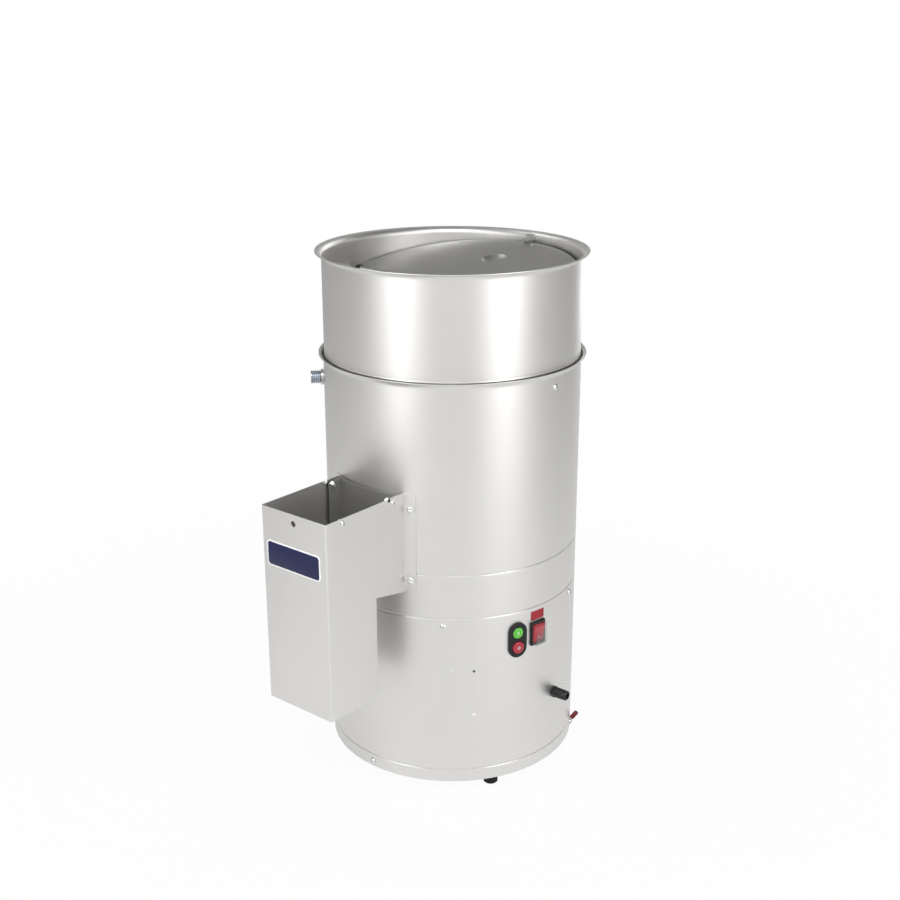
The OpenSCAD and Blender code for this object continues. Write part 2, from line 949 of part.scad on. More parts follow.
module lid_rear_wing() {
  dish_z = lid_low + lid_t + dish_ball_r - dish_depth;
  color("#8b8f94")
    on_lid()
      difference() {
        union() {
          translate([0, 0, lid_low])
            difference() {
              lid_wing(true);
              lid_hole(0, dish_y, dish_d / 2);
              lid_hole(lid_screw_x, lid_screw_y, lid_screw_r + hole_gap);
              lid_hole(stem_x, pad_y + pad_l / 2, stem_r + hole_gap);
            }
          intersection() {
            translate([0, dish_y, dish_z])
              difference() {
                sphere(dish_ball_r + lid_t);
                sphere(dish_ball_r);
              }
            translate([0, dish_y, lid_low + lid_t - 2 * dish_depth])
              cylinder(r = dish_d / 2 + dish_rim, h = 2 * dish_depth);
          }
        }
        lid_rod_cut();
      }
}

module lid_front_wing() {
  color("#8b8f94")
    on_lid()
      difference() {
        translate([0, 0, -lid_low - lid_t])
          lid_wing(false);
        lid_rod_cut();
      }
}

module lid_rod() {
  color("#c8cbce")
    on_lid()
      rotate([0, 90, 0])
        cylinder(r = lid_rod_r, h = 2 * rod_half, center = true);
}

// Bar under the front wing that brings the flap back against its stop
module lid_counterweight() {
  color("#9a9da1")
    on_lid()
      translate([0, -weight_y, -lid_low - lid_t - weight_d / 2 - seat_gap])
        rotate([0, 90, 0])
          cylinder(r = weight_d / 2, h = weight_l, center = true);
}

module lid_pivots() {
  color("#1b1c1e")
    for (side = [0, 180])
      rotate([0, 0, side])
        difference() {
          intersection() {
            translate([skirt_inner_r - pivot_block_l, 0, lid_pivot_z])
              rotate([0, 90, 0])
                cylinder(r = pivot_block_r, h = 2 * pivot_block_l);
            cylinder(r = skirt_inner_r - seat_gap, h = 2 * far, $fn = fine);
          }
          translate([0, 0, lid_pivot_z])
            rotate([0, 90, 0])
              cylinder(r = lid_rod_r + run_gap, h = rod_half + rod_end_gap / 5);
        }
}

// Lug on the tube's wall that the flap's rear edge rests against
module lid_stop() {
  color("#d8dadc")
    difference() {
      intersection() {
        translate([stop_x - stop_w / 2, skirt_inner_r - stop_in, stop_z])
          cube([stop_w, 2 * stop_in, stop_h]);
        cylinder(r = skirt_inner_r - seat_gap, h = 2 * far, $fn = fine);
      }
      translate([-far / 2, skirt_inner_r - stop_sheet - far, stop_z + stop_foot_h])
        cube(far);
    }
}

// Rubber pad under the lug, with a stem through the flap and a strip under it to the screw
module lid_bumper() {
  color("#141516")
    on_lid()
      difference() {
        union() {
          translate([pad_x, pad_y, lid_low + lid_t + touch_gap])
            cube([pad_w, pad_l, pad_h]);
          translate([stem_x, pad_y + pad_l / 2, lid_low - pad_strip_t / 2])
            cylinder(r = stem_r, h = lid_t + pad_strip_t / 2 + pad_h / 2);
          translate([pad_x, lid_screw_y - pad_strip_l / 2, lid_low - pad_strip_t - touch_gap])
            cube([lid_screw_x - pad_x + pad_strip_l / 2, pad_strip_l, pad_strip_t]);
        }
        lid_hole(lid_screw_x, lid_screw_y, lid_screw_r + hole_gap);
        // The screw's head stands beside the pad
        translate([lid_screw_x, lid_screw_y, lid_low + lid_t])
          cylinder(r = lid_screw_head_r + hole_gap, h = overrun);
      }
}

module lid_bumper_screw() {
  color("#c4c7cb")
    on_lid()
      translate([lid_screw_x, lid_screw_y, lid_low + lid_t + touch_gap]) {
        pan_screw(lid_screw_r, lid_screw_head_r, lid_screw_head_h, lid_screw_l);
        translate([0, 0, -lid_t - pad_strip_t - 3 * touch_gap])
          rotate([180, 0, 0])
            nut(lid_nut_w, lid_nut_h, lid_screw_r, screw_tip);
      }
}

// Side view of the space behind the spout and under the neck, as [distance from the axis, height]
module behind_spout() {
  polygon([
    [spout_back, -far],
    [spout_back, neck_z + neck_rise],
    [neck_y, neck_z],
    [0, neck_z],
    [0, -far]]);
}

// Extrudes a side view across the chute
module across(width) {
  translate([width / 2, 0, 0])
    rotate([90, 0, -90])
      linear_extrude(width)
        children();
}

// Plan of the chute's folded wall, a box with two round folds at the front
module chute_plan() {
  depth = chute_reach - neck_y / 2;
  translate([0, -chute_reach + depth / 2])
    difference() {
      rounded(chute_w, depth, chute_fold_r);
      rounded(chute_w - 2 * sheet_t, depth - 2 * sheet_t, chute_fold_r - sheet_t);
    }
}

module chute_flange(side) {
  intersection() {
    wall_sector(flange_r, flange_r + sheet_t, neck_z + flange_foot_gap, chute_top,
      270 + side * (flange_from + flange_to) / 2, (flange_to - flange_from) / 2);
    on_wall(270 + side * flange_from, (neck_z + chute_top) / 2, body_r - overrun)
      linear_extrude(3 * overrun)
        rounded(2 * flange_w, chute_top - neck_z, flange_round);
  }
}

module chute() {
  color("#d3d6d9")
    difference() {
      union() {
        difference() {
          union() {
            translate([0, 0, spout_foot])
              linear_extrude(chute_top - spout_foot)
                chute_plan();
            // Floor of the neck, in line with the lower edge of the sides
            across(2 * chute_in + sheet_t)
              polygon([
                [neck_y, neck_z],
                [spout_back + sheet_t, neck_z + neck_rise],
                [spout_back + sheet_t, neck_z + neck_rise + sheet_t],
                [neck_y, neck_z + sheet_t]]);
            // Back of the spout
            across(2 * chute_in + sheet_t)
              translate([spout_back, spout_foot])
                square([sheet_t, neck_z + neck_rise - spout_foot + sheet_t / 2]);
          }
          across(far)
            behind_spout();
          cylinder(r = flange_r, h = 2 * far);
        }
        for (side = [-1, 1])
          chute_flange(side);
      }
      for (side = [-1, 1], z = [chute_bolt_low, chute_bolt_high])
        on_wall(270 + side * chute_bolt_az, z, body_r - sheet_t)
          cylinder(r = bolt_r + hole_gap, h = overrun);
      translate([0, -hinge_reach, hinge_z])
        rotate([0, 90, 0])
          cylinder(r = screw_r + hole_gap, h = far, center = true);
      translate([0, -front_screw_reach, hinge_z])
        rotate([0, 90, 0])
          cylinder(r = screw_r + hole_gap, h = far);
      // Small notches in the top edges, over the door's ears
      translate([0, -hinge_reach - notch_out, chute_top])
        cube([far, notch_w, 2 * notch_h], center = true);
      translate([0, -chute_reach, front_hole_z])
        rotate([90, 0, 0])
          cylinder(r = front_hole_d / 2, h = overrun, center = true);
    }
}

module chute_bolts() {
  color("#c4c7cb")
    for (side = [-1, 1], place = [[chute_bolt_low, skirt_inner_r], [chute_bolt_high, inner_r]])
      let (az = 270 + side * chute_bolt_az, z = place[0], seat = place[1]) {
        on_wall(az, z, flange_r + sheet_t + wall_gap)
          pan_screw(bolt_r, bolt_head_r, bolt_head_h, flange_r + sheet_t - seat + merge);
        on_wall(az, z, seat - wall_gap)
          rotate([180, 0, 0])
            nut(bolt_nut_w, bolt_nut_h, bolt_r, screw_tip);
      }
}

// Screw through a side of the chute, with its nut inside; `inside` is the nut's distance from the middle
module side_screw(side, reach, inside) {
  translate([side * (chute_half + seat_gap), -reach, hinge_z])
    rotate([0, side * 90, 0])
      pan_screw(screw_r, side_head_r, side_head_h, chute_half - inside + seat_gap);
  translate([side * inside, -reach, hinge_z])
    rotate([0, -side * 90, 0])
      nut(nut_w, side_nut_h, screw_r, side_tip);
}

module chute_screw() {
  color("#c4c7cb")
    side_screw(1, front_screw_reach, chute_in - seat_gap);
}

module door_pivots() {
  color("#c4c7cb")
    for (side = [-1, 1])
      side_screw(side, hinge_reach, door_half - door_t - nut_wall_gap);
}

// Spacers that hold the door's ears off the chute's sides
module door_bushes() {
  bush_gap = seat_gap + touch_gap;
  color("#1d1e20")
    for (side = [-1, 1])
      translate([side * (door_half + bush_gap), -hinge_reach, hinge_z])
        rotate([0, side * 90, 0])
          difference() {
            cylinder(r = bush_r, h = door_side_gap - bush_gap - touch_gap);
            cylinder(r = screw_r + touch_gap, h = 3 * overrun, center = true);
          }
}

module name_plate() {
  color("#26307a")
    translate([-name_plate_shift, -chute_reach - touch_gap, chute_top - name_plate_drop])
      rotate([90, 0, 0])
        linear_extrude(name_plate_t)
          rounded(chute_w - 2 * plate_in, name_plate_h, name_plate_round);
}

// Tray-shaped door: a plate curved like the drum, with an ear at each side
module outlet_door() {
  color("#7d8186")
    difference() {
      union() {
        translate([0, 0, door_foot])
          linear_extrude(door_top - door_foot)
            intersection() {
              difference() {
                circle(door_r + door_t, $fn = fine);
                circle(door_r, $fn = fine);
              }
              translate([0, -door_r])
                square([2 * door_half, door_r], center = true);
            }
        for (side = [-1, 1])
          difference() {
            translate([side * (door_half - door_t / 2), 0, 0])
              across(door_t)
                polygon([
                  [door_r / 2, door_foot],
                  [ear_foot_reach, door_foot],
                  [ear_reach, ear_step_z],
                  [ear_reach, door_top - ear_corner],
                  [ear_reach - ear_corner, door_top],
                  [door_r / 2, door_top]]);
            cylinder(r = door_r + door_t / 2, h = 2 * far, $fn = fine);
          }
      }
      translate([0, -hinge_reach, hinge_z])
        rotate([0, 90, 0])
          cylinder(r = screw_r + run_gap, h = far, center = true);
    }
}

// Rubber strip on the drum, down both sides of the window and under it, that the door rests on
module door_seal() {
  outer_az = asin((door_half - seal_edge) / door_r);
  inner_az = asin((window_w / 2 + merge) / body_r);
  color("#18191b")
    difference() {
      wall_sector(body_r + wall_gap, door_r - 2 * seat_gap, door_foot + wall_gap,
        window_z + window_h - seal_drop, 270, outer_az);
      wall_sector(body_r - overrun, door_r + overrun, window_z - wall_gap, chute_top, 270, inner_az);
    }
}

module water_inlet() {
  inlet_from = skirt_inner_r - inlet_tail_in;
  shoulder = body_r + wall_gap + inlet_nut_h + touch_gap - inlet_from;
  color("#8a9098")
    on_wall(inlet_az, inlet_z, inlet_from)
      difference() {
        union() {
          cylinder(r = inlet_r - inlet_thread, h = shoulder + merge);
          translate([0, 0, shoulder])
            cylinder(r = inlet_r, h = inlet_l - inlet_chamfer);
          translate([0, 0, shoulder + inlet_l - inlet_chamfer])
            cylinder(r1 = inlet_r, r2 = inlet_r - inlet_chamfer, h = inlet_chamfer);
        }
        cylinder(r = inlet_bore_r, h = far, center = true);
      }
}

// Ring nut with a plain bore
module ring_nut(r, h, bore_r) {
  difference() {
    cylinder(r = r, h = h);
    cylinder(r = bore_r, h = 3 * h, center = true);
  }
}

// Ring nuts outside and inside, which clamp the inlet to both walls
module inlet_nuts() {
  nut_bore = inlet_r - inlet_nut_gap;
  color("#4a4d51") {
    on_wall(inlet_az, inlet_z, body_r + wall_gap)
      ring_nut(inlet_nut_r, inlet_nut_h, nut_bore);
    on_wall(inlet_az, inlet_z, skirt_inner_r - inner_nut_gap - inlet_nut_h)
      ring_nut(inlet_inner_nut_r, inlet_nut_h, nut_bore);
  }
}

// Cap on the inlet's inner end, with a slot that sprays the water down the wall
module spray_nozzle() {
  color("#b4b7bb")
    on_wall(inlet_az, inlet_z, skirt_inner_r - inlet_tail_in - touch_gap - nozzle_l)
      difference() {
        cylinder(r = inlet_r, h = nozzle_l);
        translate([0, 0, nozzle_t])
          cylinder(r = inlet_bore_r, h = 2 * nozzle_l);
        translate([0, -inlet_r, nozzle_l / 2])
          cube([inlet_bore_r * 1.5, inlet_r, nozzle_slot], center = true);
      }
}

module drain_spout() {
  bead_z = body_r + seat_gap + drain_flange_t;
  bead_end = bead_z + drain_bead_l / 2;
  color("#c4c7cb")
    difference() {
      union() {
        // The pipe's end in the wall, then the flange, the weld's bead and the pipe outside the wall
        on_wall(90, drain_z, inner_r + touch_gap)
          cylinder(r = drain_r - seat_gap, h = drain_l / 2);
        difference() {
          union() {
            intersection() {
              wall_sector(body_r, bead_z, drain_z - drain_d, drain_z + drain_d, 90, drain_sweep);
              on_wall(90, drain_z, inner_r)
                cylinder(r = drain_r + drain_flange_w, h = 2 * overrun);
            }
            on_wall(90, drain_z, inner_r)
              cylinder(r = drain_r + drain_bead, h = bead_end - inner_r);
          }
          cylinder(r = body_r + seat_gap, h = far, $fn = fine);
        }
        on_wall(90, drain_z, bead_end - merge / 2)
          cylinder(r = drain_r, h = inner_r + drain_l - bead_end + merge / 2);
      }
      on_wall(90, drain_z, inner_r - overrun)
        cylinder(r = drain_r - drain_wall, h = far);
    }
}

// Cast disc with three paddles that sweep the peel to the waste pipe
module disc_plate() {
  color("#9fa3a7")
    difference() {
      union() {
        translate([0, 0, disc_foot])
          cylinder(r = disc_r, h = disc_t);
        translate([0, 0, pan_floor_z + hub_lift])
          cylinder(r = hub_r, h = disc_foot + merge - pan_floor_z - hub_lift);
        tube(dam_r + skirt_gap + skirt_wall, dam_r + skirt_gap, dam_z - skirt_lap, disc_foot + merge);
        around(paddles, dam_r + paddle_gap)
          translate([0, -paddle_t / 2, pan_floor_z + paddle_lift])
            cube([
              disc_r - dam_r - paddle_gap - paddle_edge,
              paddle_t,
              disc_foot + merge - pan_floor_z - paddle_lift]);
      }
      cylinder(r = shaft_r + press_gap, h = far);
    }
}

// Abrasive layer with three ridges that toss the potatoes
module disc_abrasive() {
  top = disc_top + abrasive_t;
  ball = (pow(ridge_w / 2, 2) + pow(ridge_h, 2)) / (2 * ridge_h);
  color("#55504b")
    difference() {
      union() {
        translate([0, 0, disc_top + press_gap])
          cylinder(r = disc_r - abrasive_edge, h = abrasive_t);
        intersection() {
          around(paddles, 0, 90 / paddles)
            translate([0, 0, top + ridge_h - ball])
              rotate([0, 90, 0])
                cylinder(r = ball, h = disc_r);
          translate([0, 0, top - abrasive_t / 8])
            cylinder(r = disc_r - ridge_edge, h = 2 * ridge_h);
        }
      }
      cylinder(r = cap_r + cap_gap, h = far);
    }
}

module disc_cap() {
  color("#c9ccd0")
    difference() {
      translate([0, 0, disc_top + touch_gap])
        turned(concat([[0, 0], [cap_r, 0], [cap_r, cap_foot_h]],
          [for (p = dome(cap_r, cap_h)) p + [0, cap_foot_h]]));
      cylinder(r = shaft_r + press_gap, h = shaft_top + seat_gap);
    }
}

module disc_shaft() {
  color("#b4b7bb")
    translate([0, 0, shaft_foot])
      cylinder(r = shaft_r, h = shaft_top - shaft_foot);
}

module shaft_seal() {
  color("#1b1c1e")
    tube(bearing_r - press_gap, shaft_r + run_gap, bearing_high + bearing_h + lip_gap,
      housing_top - lip_gap / 2);
}

module bearings() {
  color("#a9adb2")
    for (z = [bearing_low, bearing_high])
      difference() {
        tube(bearing_r - press_gap, shaft_r + run_gap, z, z + bearing_h);
        for (face = [z, z + bearing_h])
          tube(shaft_r + race_out, shaft_r + race_in, face - race_step, face + race_step);
      }
}

module bearing_housing() {
  color("#70757a")
    difference() {
      union() {
        tube(housing_r, bearing_r, housing_foot, housing_top);
        tube(housing_r - merge, shaft_r + housing_bore_w, bearing_low + bearing_h + touch_gap,
          bearing_high - touch_gap);
        tube(housing_flange_r, housing_r - merge, housing_top - housing_flange_t, housing_top);
      }
      around(4, housing_bolt_r, 45)
        translate([0, 0, housing_top])
          cylinder(r = stud_r + hole_gap, h = 4 * overrun, center = true);
    }
}

module housing_bolts() {
  under = housing_top - housing_flange_t;
  color("#c4c7cb")
    around(4, housing_bolt_r, 45) {
      translate([0, 0, under - housing_nut_h])
        cylinder(r = stud_nut_r, h = housing_nut_h, $fn = 6);
      translate([0, 0, under - merge])
        cylinder(r = stud_r, h = pan_floor_z - under + merge + housing_tip);
      translate([0, 0, pan_floor_z])
        cylinder(r = stud_nut_r, h = housing_nut_h, $fn = 6);
    }
}

// The rim of a pulley with one groove, which is the belt's own shape a little larger
function groove(r) = [
  [r, belt_z - rim_t / 2],
  [r, belt_z - belt_w / 2 - belt_gap],
  [r - belt_sink - belt_h - belt_gap, belt_z - belt_foot_w / 2 - belt_gap],
  [r - belt_sink - belt_h - belt_gap, belt_z + belt_foot_w / 2 + belt_gap],
  [r, belt_z + belt_w / 2 + belt_gap],
  [r, belt_z + rim_t / 2]];

module driven_pulley() {
  bore = shaft_r + press_gap;
  hub = shaft_r + pulley_hub_w;
  web = big_r - rim_depth;
  color("#6d7277")
    turned(concat(
      [[web, belt_z - rim_t / 2]],
      groove(big_r),
      [[web, belt_z + rim_t / 2], [web, belt_z + web_half], [hub, belt_z + web_half]],
      [[hub, belt_z + rim_t / 2 + pulley_hub_high], [bore, belt_z + rim_t / 2 + pulley_hub_high]],
      [[bore, belt_z - rim_t / 2 - pulley_hub_low], [hub, belt_z - rim_t / 2 - pulley_hub_low]],
      [[hub, belt_z - web_half], [web, belt_z - web_half]]));
}

// Places its children in the motor's frame: x runs from the disc's shaft to the motor's
module on_motor_side() {
  rotate([0, 0, motor_az])
    children();
}

// Places its children on the motor's own axis
module on_motor() {
  on_motor_side()
    translate([motor_reach, 0, 0])
      children();
}

module motor_pulley() {
  color("#6d7277")
    on_motor()
      turned(concat(
        [[motor_shaft_r + press_gap, belt_z - rim_t / 2]],
        groove(small_r),
        [[motor_shaft_r + press_gap, belt_z + rim_t / 2]]));
}

// Section of the belt, whose back is at radius r
module belt_section(r) {
  polygon([
    [r, belt_z - belt_w / 2],
    [r, belt_z + belt_w / 2],
    [r - belt_h, belt_z + belt_foot_w / 2],
    [r - belt_h, belt_z - belt_foot_w / 2]]);
}

module drive_belt() {
  color("#1a1a1b")
    on_motor_side() {
      rotate([0, 0, 90 - belt_lean])
        rotate_extrude(angle = 180 + 2 * belt_lean)
          belt_section(belt_big);
      translate([motor_reach, 0, 0])
        rotate([0, 0, -90 + belt_lean])
          rotate_extrude(angle = 180 - 2 * belt_lean)
            belt_section(belt_small);
      for (side = [0, 1])
        mirror([0, side, 0])
          rotate([0, 0, -belt_lean])
            translate([-press_gap / 2, 0, 0])
              rotate([90, 0, 90])
                linear_extrude(belt_run + press_gap)
                  belt_section(belt_big);
    }
}

module motor_shaft() {
  color("#b4b7bb")
    on_motor()
      translate([0, 0, motor_foot + motor_tail])
        cylinder(r = motor_shaft_r, h = belt_z + motor_nose - motor_foot - motor_tail);
}

module motor_body() {
  foot = motor_foot + fan_cover_h;
  bore = motor_shaft_r + run_gap;
  color("#50565c")
    on_motor()
      difference() {
        union() {
          tube(motor_r - fin_h, bore, foot, plate_z - end_gap);
          tube(motor_r, bore, foot, foot + end_t);
          tube(motor_r - fin_root, bore, plate_z - end_high, plate_z);
          around(fin_count, motor_r - fin_h - fin_root)
            translate([0, -fin_t / 2, foot + end_t / 2])
              cube([fin_h + fin_root, fin_t, plate_z - end_high - fin_root - foot]);
        }
        around(4, motor_r - motor_screw_in, 45)
          translate([0, 0, plate_z])
            cylinder(r = motor_screw_r, h = 2 * motor_hole_l, center = true);
      }
}

module motor_fan_cover() {
  top = motor_foot + fan_cover_h - seat_gap;
  outer = motor_r - fin_root;
  color("#2b2e31")
    on_motor()
      difference() {
        turned([
          [0, motor_foot],
          [outer - fan_corner, motor_foot],
          [outer, motor_foot + fan_corner],
          [outer, top],
          [outer - fan_cover_t, top],
          [outer - fan_cover_t, motor_foot + fan_corner + fan_cover_t / 2],
          [outer - fan_corner - fan_cover_t / 2, motor_foot + fan_cover_t],
          [0, motor_foot + fan_cover_t]]);
        around(fan_holes, motor_r - fan_hole_in)
          translate([0, 0, motor_foot])
            cylinder(r = fan_hole_r, h = overrun, center = true);
      }
}

// Steel plate that carries the motor under the pan
module motor_plate() {
  near_x = hanger_x[0] - plate_near;
  mid_x = hanger_x[0] + plate_near;
  far_x = hanger_x[1] + plate_edge;
  near_y = hanger_y[0] + plate_edge;
  far_y = hanger_y[1] + plate_corner;
  color("#7a7f84")
    on_motor_side()
      translate([0, 0, plate_z])
        linear_extrude(plate_t)
          difference() {
            polygon([
              [near_x, -near_y], [mid_x, -near_y], [far_x, -far_y],
              [far_x, far_y], [mid_x, near_y], [near_x, near_y]]);
            translate([motor_reach, 0]) {
              circle(plate_bore_r);
              around(4, motor_r - motor_screw_in, 45)
                circle(motor_screw_r);
            }
            for (p = hangers)
              translate(p)
                circle(hanger_r + hole_gap);
          }
}

// Four studs from the pan's floor down to the motor's plate, with a nut above and below the plate,
// and the four screws that hold the motor under the plate
module motor_hangers() {
  plate_top = plate_z + plate_t + touch_gap;
  color("#b4b7bb") {
    on_motor()
      around(4, motor_r - motor_screw_in, 45) {
        translate([0, 0, plate_top])
          cylinder(r = motor_screw_head_r, h = motor_screw_head_h);
        translate([0, 0, plate_z - motor_screw_l])
          cylinder(r = motor_screw_r - hole_gap, h = plate_top - plate_z + motor_screw_l + merge);
      }
    on_motor_side()
      for (p = hangers)
        translate(p) {
          translate([0, 0, plate_z - hanger_tail])
            cylinder(r = hanger_r, h = housing_top - plate_z + hanger_tail);
          translate([0, 0, plate_z - hanger_nut_h - touch_gap])
            cylinder(r = hanger_nut_r, h = hanger_nut_h, $fn = 6);
          translate([0, 0, plate_top])
            cylinder(r = hanger_nut_r, h = hanger_nut_h, $fn = 6);
        }
  }
}

// The two round wells of the twin push-button, from `depth` behind the wall's face outwards
module button_wells(depth) {
  on_wall(buttons_az, buttons_z + button_rise, body_r - depth)
    cylinder(r = green_r + button_gap, h = 2 * overrun);
  on_wall(buttons_az, buttons_z - button_rise, body_r - depth)
    cylinder(r = red_r + button_gap, h = 2 * overrun);
}

module button_bezel() {
  color("#1c1d1f")
    difference() {
      on_wall(buttons_az, buttons_z, body_r - merge)
        linear_extrude(bezel_t + merge)
          oval(bezel_w, bezel_h);
      cylinder(r = body_r + seat_gap, h = far, $fn = fine);
      button_wells(well_depth);
    }
}

// Contact block behind the twin push-button, with a round well for each button
module switch_body() {
  neck_w = bezel_w - 2 * bezel_lap - 2 * switch_neck_in;
  neck_h = bezel_h - 2 * bezel_lap - 2 * switch_neck_end;
  color("#26272a")
    difference() {
      on_wall(buttons_az, buttons_z, body_r - switch_front - switch_l)
        union() {
          linear_extrude(switch_block_l)
            rounded(switch_w, switch_h, switch_round);
          linear_extrude(switch_l)
            oval(neck_w, neck_h);
        }
      button_wells(well_depth + nut_wall_gap);
    }
}

// Push-button cap; `proud` is how far it stands out of the bezel
module button_cap(z, r, proud) {
  foot = body_r - well_depth + button_travel + button_rest - nut_wall_gap;
  h = body_r + bezel_t + proud - foot;
  on_wall(buttons_az, z, foot)
    turned([
      [0, 0],
      [r, 0],
      [r, h - cap_round * 0.9],
      [r - cap_round * 0.3, h - cap_round * 0.25],
      [r - cap_round, h],
      [0, h]]);
}

module green_button() {
  color("#3fb53a")
    button_cap(buttons_z + button_rise, green_r, green_proud);
}

module red_button() {
  color("#c0202c")
    button_cap(buttons_z - button_rise, red_r, red_proud);
}

// Rocker with two faces that meet over its pin; at rest its upper half stands out
module rocker() {
  end = rocker_h / 2 - rocker_end * 0.75;
  tip = rocker_h / 2 - rocker_end * 0.55;
  crown = rocker_h / 2 - rocker_end;
  color("#c8242e")
    on_wall(rocker_az, rocker_z, body_r)
      rotate([rocker_lean, 0, 0])
        difference() {
          translate([-rocker_w / 2, 0, 0])
            rotate([90, 0, 90])
              linear_extrude(rocker_w)
                polygon([
                  [-end, -rocker_back / 5],
                  [-tip, rocker_front - rocker_chamfer],
                  [-crown, rocker_front],
                  [0, rocker_front - rocker_dip],
                  [crown, rocker_front],
                  [tip, rocker_front - rocker_chamfer],
                  [end, -rocker_back / 5],
                  [rocker_root, -rocker_back],
                  [-rocker_root, -rocker_back]]);
          rotate([0, 90, 0])
            cylinder(r = rocker_pin_r + run_gap, h = far, center = true);
        }
}

// Housing of the rocker switch: its bezel on the wall and its body behind the wall in one moulding
module rocker_housing() {
  well_w = rocker_w + 2 * rocker_gap;
  well_h = rocker_h + 2 * rocker_gap;
  color("#1c1d1f") {
    difference() {
      union() {
        difference() {
          on_wall(rocker_az, rocker_z, body_r - merge)
            linear_extrude(rocker_bezel_t + merge)
              rounded(rocker_bezel_w, rocker_bezel_h, rocker_bezel_round);
          cylinder(r = body_r + seat_gap, h = far, $fn = fine);
        }
        on_wall(rocker_az, rocker_z, body_r - rocker_body_l)
          linear_extrude(rocker_body_l + rocker_bezel_t / 2)
            square([well_w + 2 * rocker_wall, well_h + 2 * rocker_wall], center = true);
      }
      on_wall(rocker_az, rocker_z, body_r - rocker_well)
        linear_extrude(2 * overrun)
          square([well_w, well_h], center = true);
    }
    on_wall(rocker_az, rocker_z, body_r)
      rotate([0, 90, 0])
        cylinder(r = rocker_pin_r, h = well_w + rocker_wall, center = true);
  }
}

// Clear splash cover over the rocker
module rocker_cover() {
  base = rocker_bezel_t + touch_gap;
  inside = cover_rise - base - cover_t;
  color("#e9eef0", 0.35)
    on_wall(rocker_az, rocker_z, body_r + base)
      difference() {
        linear_extrude(cover_rise - base)
          rounded(cover_w, cover_h, cover_round);
        translate([0, 0, -inside])
          linear_extrude(2 * inside)
            rounded(cover_w - 2 * cover_t, cover_h - 2 * cover_t, cover_round - cover_t);
      }
}

// Gland's body with its hexagon outside the wall and its nut inside
module cable_gland() {
  color("#1a1b1d")
    difference() {
      union() {
        on_wall(gland_az, gland_z, body_r + wall_gap)
          cylinder(r = gland_hex, h = gland_hex_l, $fn = 6);
        on_wall(gland_az, gland_z, body_r - gland_tail)
          cylinder(r = gland_thread_r, h = gland_thread_l);
        on_wall(gland_az, gland_z, inner_r - wall_gap - gland_nut_h)
          cylinder(r = gland_nut_r, h = gland_nut_h, $fn = 6);
      }
      on_wall(gland_az, gland_z, body_r - 2 * overrun)
        cylinder(r = gland_bore_r, h = far);
    }
}

module gland_nut() {
  start = gland_hex_l + gland_nut_gap;
  nut_l = gland_l - start;
  color("#1a1b1d")
    on_wall(gland_az, gland_z, body_r + start)
      difference() {
        turned([
          [0, 0],
          [gland_r, 0],
          [gland_r, nut_l * 0.86],
          [gland_r - gland_round * 0.3, nut_l * 0.95],
          [gland_r - gland_round, nut_l],
          [0, nut_l]]);
        translate([0, 0, -merge])
          cylinder(r = gland_thread_r + gland_nut_bore, h = gland_nut_well + merge);
        cylinder(r = gland_bore_r, h = far, center = true);
        around(gland_ribs, gland_r + gland_rib_r / 2)
          translate([0, 0, gland_rib_from])
            cylinder(r = gland_rib_r, h = nut_l * 0.5);
      }
}

// Places its children on the ring's first screw, on top of the wall
module on_terminal() {
  on_wall(ring_screw_az[0], ring_screw_z, body_r + seat_gap)
    children();
}

// Places its children on the terminal's bent tongue: their z runs along it
module on_tongue(along) {
  translate([0, tongue_l, 0])
    rotate([sleeve_lean, 0, 0])
      translate([0, along, pin_r])
        rotate([-90, 0, 0])
          children();
}

// Ring terminal under the earth screw, with its tongue bent out to the sleeve
module earth_terminal() {
  color("#c3c6c9")
    on_terminal() {
      difference() {
        union() {
          cylinder(r = terminal_r, h = terminal_t);
          translate([-tongue_w / 2, 0, 0])
            cube([tongue_w, tongue_l, terminal_t]);
        }
        cylinder(r = screw_r + hole_gap, h = overrun, center = true);
      }
      translate([0, tongue_l, 0])
        rotate([sleeve_lean, 0, 0])
          translate([-tongue_w / 2, 0, 0])
            cube([tongue_w, tongue_bend, terminal_t]);
      on_tongue(pin_from)
        cylinder(r = pin_r, h = pin_l);
    }
}

module terminal_sleeve() {
  color("#b3222c")
    on_terminal()
      on_tongue(sleeve_from)
        difference() {
          cylinder(r = sleeve_r, h = sleeve_l);
          translate([0, 0, -merge])
            cylinder(r = pin_r + sleeve_gap, h = sleeve_l + 2 * merge);
        }
}

// Two weld studs that carry the electrics' plate, and one rivet by the gland
module electrics_studs() {
  foot = electrics_r - weld_tail;
  color("#c4c7cb") {
    for (i = [0, 1])
      on_wall(weld_az[i], casing_z + weld_rise[i], foot) {
        headed_pin(weld_r, body_r + seat_gap - foot, weld_head_r, weld_head_h);
        translate([0, 0, weld_tip])
          cylinder(r = weld_nut_r, h = weld_nut_h, $fn = 6);
      }
    on_wall(rivet_az, rivet_z, body_r - rivet_l)
      headed_pin(rivet_r, rivet_l + seat_gap, rivet_head_r, rivet_head_h);
  }
}

module electrics_plate() {
  color("#8e9398")
    difference() {
      on_wall(electrics_az, electrics_z, electrics_r - electrics_t - touch_gap)
        linear_extrude(electrics_t)
          rounded(electrics_w, electrics_h, electrics_round);
      for (i = [0, 1])
        on_wall(weld_az[i], casing_z + weld_rise[i], electrics_r - overrun)
          cylinder(r = weld_r + hole_gap, h = 2 * overrun);
    }
}

module contactor() {
  color("#d8d6cc")
    on_wall(electrics_az, electrics_z, electrics_r - electrics_t - 2 * touch_gap)
      rotate([0, 180, 0])
        union() {
          linear_extrude(contactor_t)
            rounded(contactor_w, contactor_h, electrics_round / 2);
          linear_extrude(contactor_mid_t)
            rounded(contactor_w, contactor_mid_h, electrics_round / 2);
        }
}

